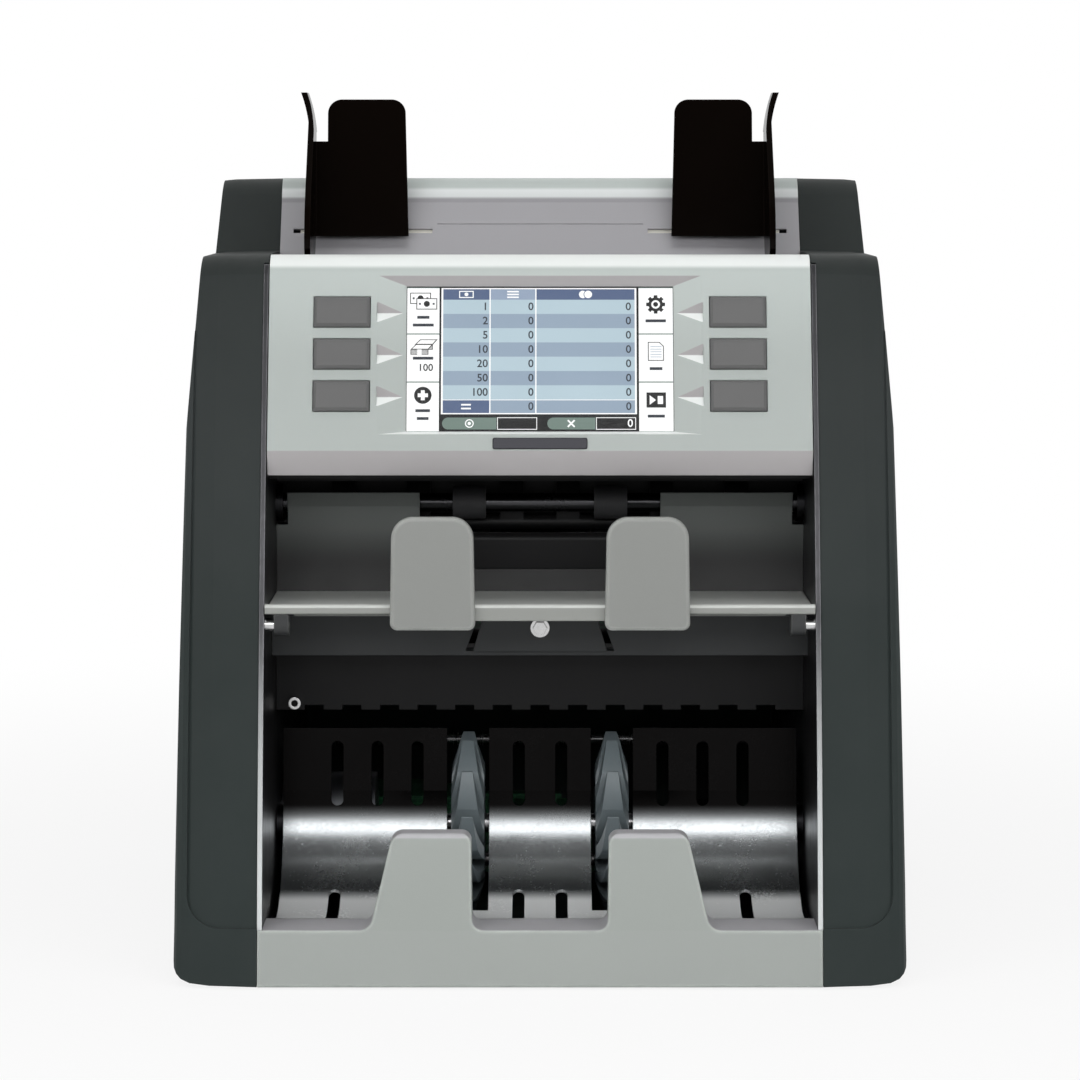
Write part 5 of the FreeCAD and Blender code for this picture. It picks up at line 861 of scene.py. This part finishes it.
# %% [markdown]
# ## Tiles, bars, discs and strokes
#
# The picture is drawn with thin closed prisms on the back of the glass, so that it is clean
# solid geometry too and stays sharp from any distance. Places are in millimetres from the middle
# of the screen: across, and up the slanted face. Layers are a few hundredths of a millimetre
# apart, to keep one from flickering through the next.

# %% Screen drawing helpers
PANEL_FOOT = Vector((0, -0.106, 0.207))
INTO_FACE = Vector((0, math.cos(PANEL_LEAN), -math.sin(PANEL_LEAN)))
FILM_DEPTH, FILM, LAYER = 3.66, 0.02, 0.04
MID_UP = 46.3
shapes = {"vertices": [], "faces": [], "inks": []}


def on_panel(across, height, depth):
    """A point of the panel, in millimetres across, up its face and into it."""
    place_up = UP_FACE * height * MM
    return PANEL_FOOT + Vector((across, 0, 0)) * MM + place_up + INTO_FACE * depth * MM


def prism(outline, ink, layer, across=0, height=0):
    front = FILM_DEPTH - layer * LAYER
    faces = prism_faces(len(outline), len(shapes["vertices"]))
    for depth in (front, front + FILM):
        shapes["vertices"] += [on_panel(across + x, MID_UP + height + w, depth) for x, w in outline]
    shapes["faces"] += faces
    shapes["inks"] += [ink] * len(faces)


def tile(left, right, low, high, ink, layer=0):
    prism([(left, low), (right, low), (right, high), (left, high)], ink, layer)


def bar(across, height, wide, tall, ink, layer):
    tile(across - wide / 2, across + wide / 2, height - tall / 2, height + tall / 2, ink, layer)


def framed(across, height, wide, tall, rim, ink, fill, layer):
    bar(across, height, wide, tall, ink, layer)
    bar(across, height, wide - 2 * rim, tall - 2 * rim, fill, layer + 1)


def disc(across, height, radius, ink, layer, sides=36):
    step = 2 * math.pi / sides
    prism([(radius * math.cos(step * i), radius * math.sin(step * i)) for i in range(sides)],
          ink, layer, across, height)


def stroke(start, end, width, ink, layer):
    (x0, w0), (x1, w1) = start, end
    run = math.hypot(x1 - x0, w1 - w0)
    side_x, side_w = -(w1 - w0) / run * width / 2, (x1 - x0) / run * width / 2
    prism([(x0 - side_x, w0 - side_w), (x1 - side_x, w1 - side_w),
           (x1 + side_x, w1 + side_w), (x0 + side_x, w0 + side_w)], ink, layer)


print("drawing helpers ready")

# %% [markdown]
# ## The count table
#
# The screen shows a count table: a column of note values, one of pieces and one of amounts. It
# has a header, seven striped rows, a total row and a bottom bar with two rounded labels and two
# boxes. A white sheet behind the cells shows between them as thin lines.

# %% Table tiles
HALF_WIDE, HALF_HIGH = 54.8, 30.6
TABLE_LEFT, TABLE_RIGHT = -41.0, 40.2
COLUMNS = (-40.2, -20.6, -1.7, 39.3)
HEADER_TOP, HEADER_LOW = 29.9, 25.4
ROWS, ROW_HIGH = 7, 6.06
ROW_LINES = [HEADER_LOW - ROW_HIGH * row for row in range(ROWS + 1)]
TOTAL_TOP, TOTAL_LOW = -17.3, -22.7
LINE = 0.5
BOX_AT, BOX_TALL, BOX_RIM = -27.1, 5.2, 0.3
PILL_RADIUS, PILL_START = 2.5, 2.0
BOTTOM_BOXES = ((-40.2, -17.9, -1.2), (3.0, 22.7, 39.4))


def row_of_cells(low, high, inks):
    for left, right, ink in zip(COLUMNS, COLUMNS[1:], inks):
        tile(left + LINE / 2, right - LINE / 2, low, high, ink, 2)


tile(TABLE_LEFT, TABLE_RIGHT, -HALF_HIGH, HALF_HIGH, BLACK)
tile(COLUMNS[0] - LINE, COLUMNS[-1] + LINE, TOTAL_LOW - LINE, HEADER_TOP + LINE, WHITE, 1)
row_of_cells(HEADER_LOW, HEADER_TOP, (HEADER, HEADER_PALE, HEADER))
for row, (high, low) in enumerate(zip(ROW_LINES, ROW_LINES[1:])):
    row_of_cells(low, high, (ROW_DEEP if row % 2 else ROW_PALE,) * 3)
row_of_cells(TOTAL_LOW, TOTAL_TOP, (HEADER, ROW_DEEP, ROW_DEEP))
for left, middle, right in BOTTOM_BOXES:
    tile(left + PILL_START, middle, BOX_AT - PILL_RADIUS, BOX_AT + PILL_RADIUS, LABEL, 1)
    disc(left + PILL_RADIUS, BOX_AT, PILL_RADIUS, LABEL, 1)
    wide = right - middle - BOX_RIM
    framed(right - wide / 2, BOX_AT, wide, BOX_TALL, BOX_RIM, WHITE, BLACK, 1)
print(len(shapes["faces"]), "faces so far")

# %% [markdown]
# ## Pictograms on the left
#
# A strip of three white cells runs down each side of the table, one cell for each key. Those on
# the left show loose notes, banded notes and a plus. Each pictogram is a few outlines laid over
# one another, dark below and white above, which leaves a dark rim.

# %% Side strips and left pictograms
STRIPS = ((-HALF_WIDE, -41.5), (40.7, HALF_WIDE))
CELL_LINES = (HALF_HIGH, 10.8, -9.6, -HALF_HIGH)
NOTE_WIDE, NOTE_TALL, NOTE_RIM, NOTE_MARK = 8.6, 4.8, 0.35, 0.8
BUNDLE_WIDE, BUNDLE_TALL = 7.4, 2.2
BUNDLE_TOP = [(0, BUNDLE_TALL), (BUNDLE_WIDE, BUNDLE_TALL), (9.4, 4.4), (2.2, 4.4)]
BUNDLE_FACE = [(0.7, 2.5), (7.2, 2.5), (8.6, 4.1), (2.4, 4.1)]
PLUS_AT, PLUS_WIDE, PLUS_THICK = -15.2, 4.2, 1.6
left_mid, right_mid = [sum(strip) / 2 for strip in STRIPS]

for left, right in STRIPS:
    tile(left, right, -HALF_HIGH, HALF_HIGH, LABEL)
    for high, low in zip(CELL_LINES, CELL_LINES[1:]):
        tile(left, right, low + LINE / 2, high - LINE / 2, WHITE, 1)


def note(across, height, layer):
    """One note seen flat: an outline, a round medallion and a mark at each side."""
    framed(across, height, NOTE_WIDE, NOTE_TALL, NOTE_RIM, BLACK, WHITE, layer)
    disc(across, height, NOTE_TALL * 0.26, BLACK, layer + 2)
    for side in (-1, 1):
        bar(across + side * NOTE_WIDE * 0.33, height, NOTE_MARK, NOTE_MARK, INK, layer + 2)


def bundle(left, foot, layer):
    """Banded notes in perspective: a slanted top, a side with sheet lines and a paper band."""
    prism(BUNDLE_TOP, BLACK, layer, left, foot)
    prism(BUNDLE_FACE, WHITE, layer + 1, left, foot)
    tile(left, left + BUNDLE_WIDE, foot, foot + BUNDLE_TALL, BLACK, layer)
    for sheet in range(4):
        level = foot + 0.35 + 0.48 * sheet
        tile(left + 0.3, left + BUNDLE_WIDE - 0.3, level, level + 0.2, WHITE, layer + 1)
    tile(left + 2.8, left + 4.6, foot, foot + BUNDLE_TALL, WHITE, layer + 2)


note(left_mid - 1.2, 26.0, 2)
note(left_mid + 1.4, 23.6, 5)
bundle(left_mid - 3.4, 4.1, 2)
bundle(left_mid - 5.2, 2.0, 5)
disc(left_mid, PLUS_AT, 3.6, BLACK, 2)
bar(left_mid, PLUS_AT, PLUS_WIDE, PLUS_THICK, WHITE, 3)
bar(left_mid, PLUS_AT, PLUS_THICK, PLUS_WIDE, WHITE, 3)
print(len(shapes["faces"]), "faces with the left strip")

# %% [markdown]
# ## Pictograms on the right
#
# The cells on the right show a gear wheel, a sheet with a cut corner and a start mark. The gear
# is eight short strokes under a ring of discs. Plain dark bars lie under the pictograms of both
# strips.

# %% Right pictograms and bars
GEAR_AT, TEETH, TOOTH_ENDS, TOOTH_WIDE = 23.4, 8, (2.0, 3.9), 1.5
SHEET_AT = 3.4
SHEET = [(-3.3, -4.0), (3.3, -4.0), (3.3, 2.2), (1.5, 4.0), (-3.3, 4.0)]
START_AT = -17.2
START_MARK = [(-2.7, -2.0), (-0.1, 0.0), (-2.7, 2.0)]
BAR_TALL = 1.2

for tooth in range(TEETH):
    turn = 2 * math.pi * tooth / TEETH
    ends = [(right_mid + r * math.cos(turn), GEAR_AT + r * math.sin(turn)) for r in TOOTH_ENDS]
    stroke(*ends, TOOTH_WIDE, BLACK, 2)
for radius, ink, layer in ((3.0, BLACK, 3), (1.8, WHITE, 4), (1.0, BLACK, 5)):
    disc(right_mid, GEAR_AT, radius, ink, layer)

prism(SHEET, BLACK, 2, right_mid, SHEET_AT)
prism([(x * 0.9, w * 0.92) for x, w in SHEET], WHITE, 3, right_mid, SHEET_AT)
for line in range(-2, 3):
    bar(right_mid, SHEET_AT - 0.175 + 1.1 * line, 4.6, 0.25, ROW_DEEP, 4)

bar(right_mid, START_AT, 8.0, 6.4, BLACK, 2)
prism(START_MARK, WHITE, 3, right_mid, START_AT)
bar(right_mid + 1.7, START_AT, 2.2, 3.4, WHITE, 3)

for strip_mid, bars in ((left_mid, ((17.9, 5.0), (14.6, 8.6), (0.5, 8.4), (-21.7, 6.0), (-25.0, 4.8))),
                        (right_mid, ((16.4, 8.4), (-3.9, 5.2), (-24.0, 7.0)))):
    for height, wide in bars:
        bar(strip_mid, height, wide, BAR_TALL, INK, 2)
print(len(shapes["faces"]), "faces with both strips")

# %% [markdown]
# ## Marks in the header and the bottom bar
#
# Each column has a mark of its own in the header: a note, three lines and two coins. An equals
# sign stands in the total row, and the two rounded labels of the bottom bar carry a coin and a
# cross. They are made of the same bars, discs and strokes.

# %% Header and bottom marks
COIN_AT, CROSS_AT, CROSS_HALF = -29.0, 12.8, 1.4
head_mid = (HEADER_TOP + HEADER_LOW) / 2
total_mid = (TOTAL_TOP + TOTAL_LOW) / 2
value_mid, piece_mid, amount_mid = [(a + b) / 2 for a, b in zip(COLUMNS, COLUMNS[1:])]

framed(value_mid, head_mid, 6.0, 3.0, 0.4, WHITE, HEADER, 4)
disc(value_mid, head_mid, 0.8, WHITE, 6)
for line in (-1.2, 0, 1.2):
    bar(piece_mid, head_mid + line, 4.8, 0.6, WHITE, 4)
for shift, radius, ink, layer in ((-1.1, 1.6, WHITE, 4), (1.1, 1.9, HEADER, 5.1), (1.1, 1.6, WHITE, 5.4)):
    disc(amount_mid + shift, head_mid, radius, ink, layer)
for line in (-0.8, 0.8):
    bar(value_mid, total_mid + line, 4.0, 0.7, WHITE, 4)
for radius, ink, layer in ((1.8, WHITE, 2.2), (1.35, LABEL, 2.65), (0.7, WHITE, 3.3)):
    disc(COIN_AT, BOX_AT, radius, ink, layer)
for lean in (-CROSS_HALF, CROSS_HALF):
    stroke((CROSS_AT - CROSS_HALF, BOX_AT - lean), (CROSS_AT + CROSS_HALF, BOX_AT + lean), 0.7, WHITE, 2)
print(len(shapes["faces"]), "faces with pictograms")

# %% [markdown]
# ## The picture as one piece
#
# All outlines become one mesh, with one material for each ink. It rides on the panel, so that it
# swings up with it.

# %% Turn the outlines into one piece
screen_mesh = bpy.data.meshes.new("screen_picture")
screen_mesh.from_pydata(shapes["vertices"], [], shapes["faces"])
for ink in screen_inks:
    screen_mesh.materials.append(ink)
screen_mesh.polygons.foreach_set("material_index", shapes["inks"])
screen_mesh.update()
screen_picture = show("screen_picture", screen_mesh)
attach(screen_picture, "control_panel")
print("screen_picture", len(screen_mesh.polygons), "faces")

# %% [markdown]
# ## Numbers on the screen
#
# The digits are text objects in the built-in font, given a hair of thickness and turned into one
# mesh. The note values stand in the first column and every count is still at nought.

# %% Screen numbers
DIGIT_SIZE, BOLD, DIGIT_LAYER = 4.6, 0.06, 4
VALUE_EDGE, COUNT_EDGES, BOX_EDGE = -21.4, (-2.6, 37.6), 38.2


def digits(text, right_edge, height, size=DIGIT_SIZE, ink=INK):
    curve = bpy.data.curves.new("digits", "FONT")
    curve.body = text
    curve.size = size * MM
    curve.align_x = "RIGHT"
    curve.align_y = "CENTER"
    curve.extrude = FILM / 2 * MM
    curve.offset = BOLD * MM
    curve.resolution_u = 4
    curve.materials.append(screen_inks[ink])
    piece = show("digits", curve)
    piece.location = on_panel(right_edge, MID_UP + height, FILM_DEPTH - DIGIT_LAYER * LAYER)
    piece.rotation_euler = (math.radians(90) - PANEL_LEAN, 0, 0)
    return piece


row_middles = [(high + low) / 2 for high, low in zip(ROW_LINES, ROW_LINES[1:])]
written = []
for value, middle in zip((1, 2, 5, 10, 20, 50, 100), row_middles):
    written.append(digits(str(value), VALUE_EDGE, middle))
    written += [digits("0", edge_at, middle) for edge_at in COUNT_EDGES]
written += [digits("0", edge_at, total_mid) for edge_at in COUNT_EDGES]
written.append(digits("0", BOX_EDGE, BOX_AT, ink=WHITE))
written.append(digits("100", left_mid + 4.2, -3.6, 4.2, BLACK))

bpy.ops.object.select_all(action="DESELECT")
for piece in written:
    piece.select_set(True)
bpy.context.view_layer.objects.active = written[0]
bpy.ops.object.convert(target="MESH")
bpy.ops.object.join()
screen_numbers = bpy.context.view_layer.objects.active
screen_numbers.name = "screen_numbers"
bpy.ops.object.transform_apply(location=True, rotation=True, scale=True)
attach(screen_numbers, "control_panel")
print("screen_numbers", len(screen_numbers.data.polygons), "faces")

# %% [markdown]
# ## The plate under the screen
#
# A small dark plate sits on the panel below the screen. It is left blank: a bevelled slip of
# anodised metal, made as one rounded prism whose front edges are chamfered.

# %% Blank plate
PLATE_HALF, PLATE_LOW, PLATE_HIGH = 19.4, 7.6, 12.4
PLATE_THICK, PLATE_BEVEL, PLATE_CORNER, PLATE_SUNK = 0.7, 0.35, 0.8, 0.05


def rounded(half, low, high, corner, steps=5):
    points = []
    middles = ((half - corner, low + corner), (half - corner, high - corner),
               (corner - half, high - corner), (corner - half, low + corner))
    for quarter, (middle_x, middle_w) in enumerate(middles):
        for step in range(steps + 1):
            turn = math.radians(90 * (quarter - 1 + step / steps))
            points.append((middle_x + corner * math.cos(turn), middle_w + corner * math.sin(turn)))
    return points


rings = []
for inset, depth in ((0, PLATE_SUNK), (0, PLATE_BEVEL - PLATE_THICK), (PLATE_BEVEL, -PLATE_THICK)):
    outline = rounded(PLATE_HALF - inset, PLATE_LOW + inset, PLATE_HIGH - inset, PLATE_CORNER)
    rings.append([on_panel(x, w, depth) for x, w in outline])
count = len(rings[0])
plate_faces = [list(range(count - 1, -1, -1)), list(range(2 * count, 3 * count))]
for ring in (0, count):
    for index in range(count):
        after = (index + 1) % count
        plate_faces.append([ring + index, ring + after, ring + count + after, ring + count + index])
plate_mesh = bpy.data.meshes.new("blank_plate")
plate_mesh.from_pydata([point for ring in rings for point in ring], [], plate_faces)
plate_mesh.materials.append(steel("plate_anodised", paint(66, 66, 70), 0.38, (10, 1800, 1800)))
plate_mesh.update()
blank_plate = show("blank_plate", plate_mesh)
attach(blank_plate, "control_panel")
print("blank_plate", len(plate_faces), "faces")

# %% [markdown]
# ## Studio floor
#
# The machine stands on plain pale paper that runs into a white background. To the camera, in
# reflections and through glass, the paper mixes its own white with the light that falls on it:
# mostly white under the machine, which still keeps a soft shadow there, and all white a metre
# away. A curved backdrop is the usual way in a studio, but it has an edge from behind.

# %% Floor
FLOOR_HALF = 6.0
SHADOW_NEAR, SHADOW_FAR, SHADOW_WHITE = 0.2, 0.9, 0.86


def seen_rays(tree):
    """1 for the rays that show a background: to the camera, in reflections and through glass."""
    rays = add(tree, "LightPath")
    seen = arithmetic(tree, "MAXIMUM", (rays, "Is Camera Ray"), (rays, "Is Glossy Ray"))
    return arithmetic(tree, "MAXIMUM", seen, (rays, "Is Transmission Ray"))


floor_mesh = bpy.data.meshes.new("studio_floor")
corners = [(-FLOOR_HALF, -FLOOR_HALF, 0), (FLOOR_HALF, -FLOOR_HALF, 0),
           (FLOOR_HALF, FLOOR_HALF, 0), (-FLOOR_HALF, FLOOR_HALF, 0)]
floor_mesh.from_pydata(corners, [], [(0, 1, 2, 3)])
paper = bpy.data.materials.new("studio_paper")
tree = empty_tree(paper)
lit_paper = add(tree, "BsdfDiffuse", Color=(0.9, 0.9, 0.9, 1))
white = add(tree, "Emission", Color=(1, 1, 1, 1), Strength=1.0)
place_on = add(tree, "TexCoord")
away = add(tree, "VectorMath", operation="LENGTH")
join(tree, place_on, "Object", away, 0)
fade = add(tree, "MapRange", From_Min=SHADOW_NEAR, From_Max=SHADOW_FAR, To_Min=SHADOW_WHITE,
           interpolation_type="SMOOTHSTEP")
join(tree, away, "Value", fade, "Value")
share = arithmetic(tree, "MULTIPLY", seen_rays(tree), (fade, "Result"))
mixed = add(tree, "MixShader")
join(tree, *share, mixed, "Fac")
join(tree, lit_paper, "BSDF", mixed, 1)
join(tree, white, "Emission", mixed, 2)
result = add(tree, "OutputMaterial")
join(tree, mixed, "Shader", result, "Surface")
floor_mesh.materials.append(paper)
floor = show("studio_floor", floor_mesh)
print("floor", FLOOR_HALF * 2, "m wide")

# %% [markdown]
# ## The white room
#
# The world is white to the camera, in reflections and through glass, and weaker as a light, so
# that the lamps can shape the forms. Above the front it is darker, as under the ceiling of a
# room: without that, the curved steel of the stacker mirrors a white sky and loses its shape.

# %% World
WORLD_LIGHT = 0.3
CEILING_SHADE = 0.85
CEILING_EDGES = (("Z", 0.3, 0.6), ("Y", 0.05, -0.3))

world = bpy.data.worlds.new("studio_world")
bpy.context.scene.world = world
tree = empty_tree(world)
strength = arithmetic(tree, "MULTIPLY_ADD", seen_rays(tree), 1 - WORLD_LIGHT, WORLD_LIGHT)
heading = axes(tree, "Generated")
shades = []
for axis, start, end in CEILING_EDGES:
    part = add(tree, "MapRange", From_Min=start, From_Max=end, interpolation_type="SMOOTHSTEP")
    join(tree, heading, axis, part, "Value")
    shades.append((part, "Result"))
shade = arithmetic(tree, "MULTIPLY", *shades)
ceiling = arithmetic(tree, "MULTIPLY_ADD", shade, -CEILING_SHADE, 1.0)
strength = arithmetic(tree, "MULTIPLY", strength, ceiling)
sky = add(tree, "Background", Color=(1, 1, 1, 1))
join(tree, *strength, sky, "Strength")
result = add(tree, "OutputWorld")
join(tree, sky, "Background", result, "Surface")
print("world", len(tree.nodes), "nodes")

# %% [markdown]
# ## Lamps
#
# Five wide area lamps give soft light: one overhead, a low strip in front that reaches into the
# two pockets, one behind for the top edges, and one from each side. A small lamp would draw hard
# shadows of the tray across the stacker.

# %% Soft lamps
AIM = Vector((0, 0, 0.2))
LAMPS = {
    "top_softbox": ((0, -0.35, 1.3), (1.5, 0.6), 4.8),
    "front_strip": ((0, -0.95, 0.52), (1.3, 0.26), 4.2),
    "back_softbox": ((0, 0.9, 1.6), (1.4, 0.5), 2),
    "left_softbox": ((-1.3, -1.3, 0.9), (0.8, 1.2), 3.5),
    "right_softbox": ((1.3, -1.3, 0.9), (0.8, 1.2), 3.5),
}

for name, (spot, size, watts) in LAMPS.items():
    data = bpy.data.lights.new(name, "AREA")
    data.shape = "RECTANGLE"
    data.size, data.size_y = size
    data.energy = watts
    lamp = show(name, data)
    lamp.location = spot
    lamp.rotation_euler = (AIM - Vector(spot)).to_track_quat("-Z", "Y").to_euler()
print(len(LAMPS), "lamps")

# %% [markdown]
# ## Finish
#
# The plain view transform shows colours as they are written.

# %% Finish
bpy.context.scene.view_settings.view_transform = "Standard"
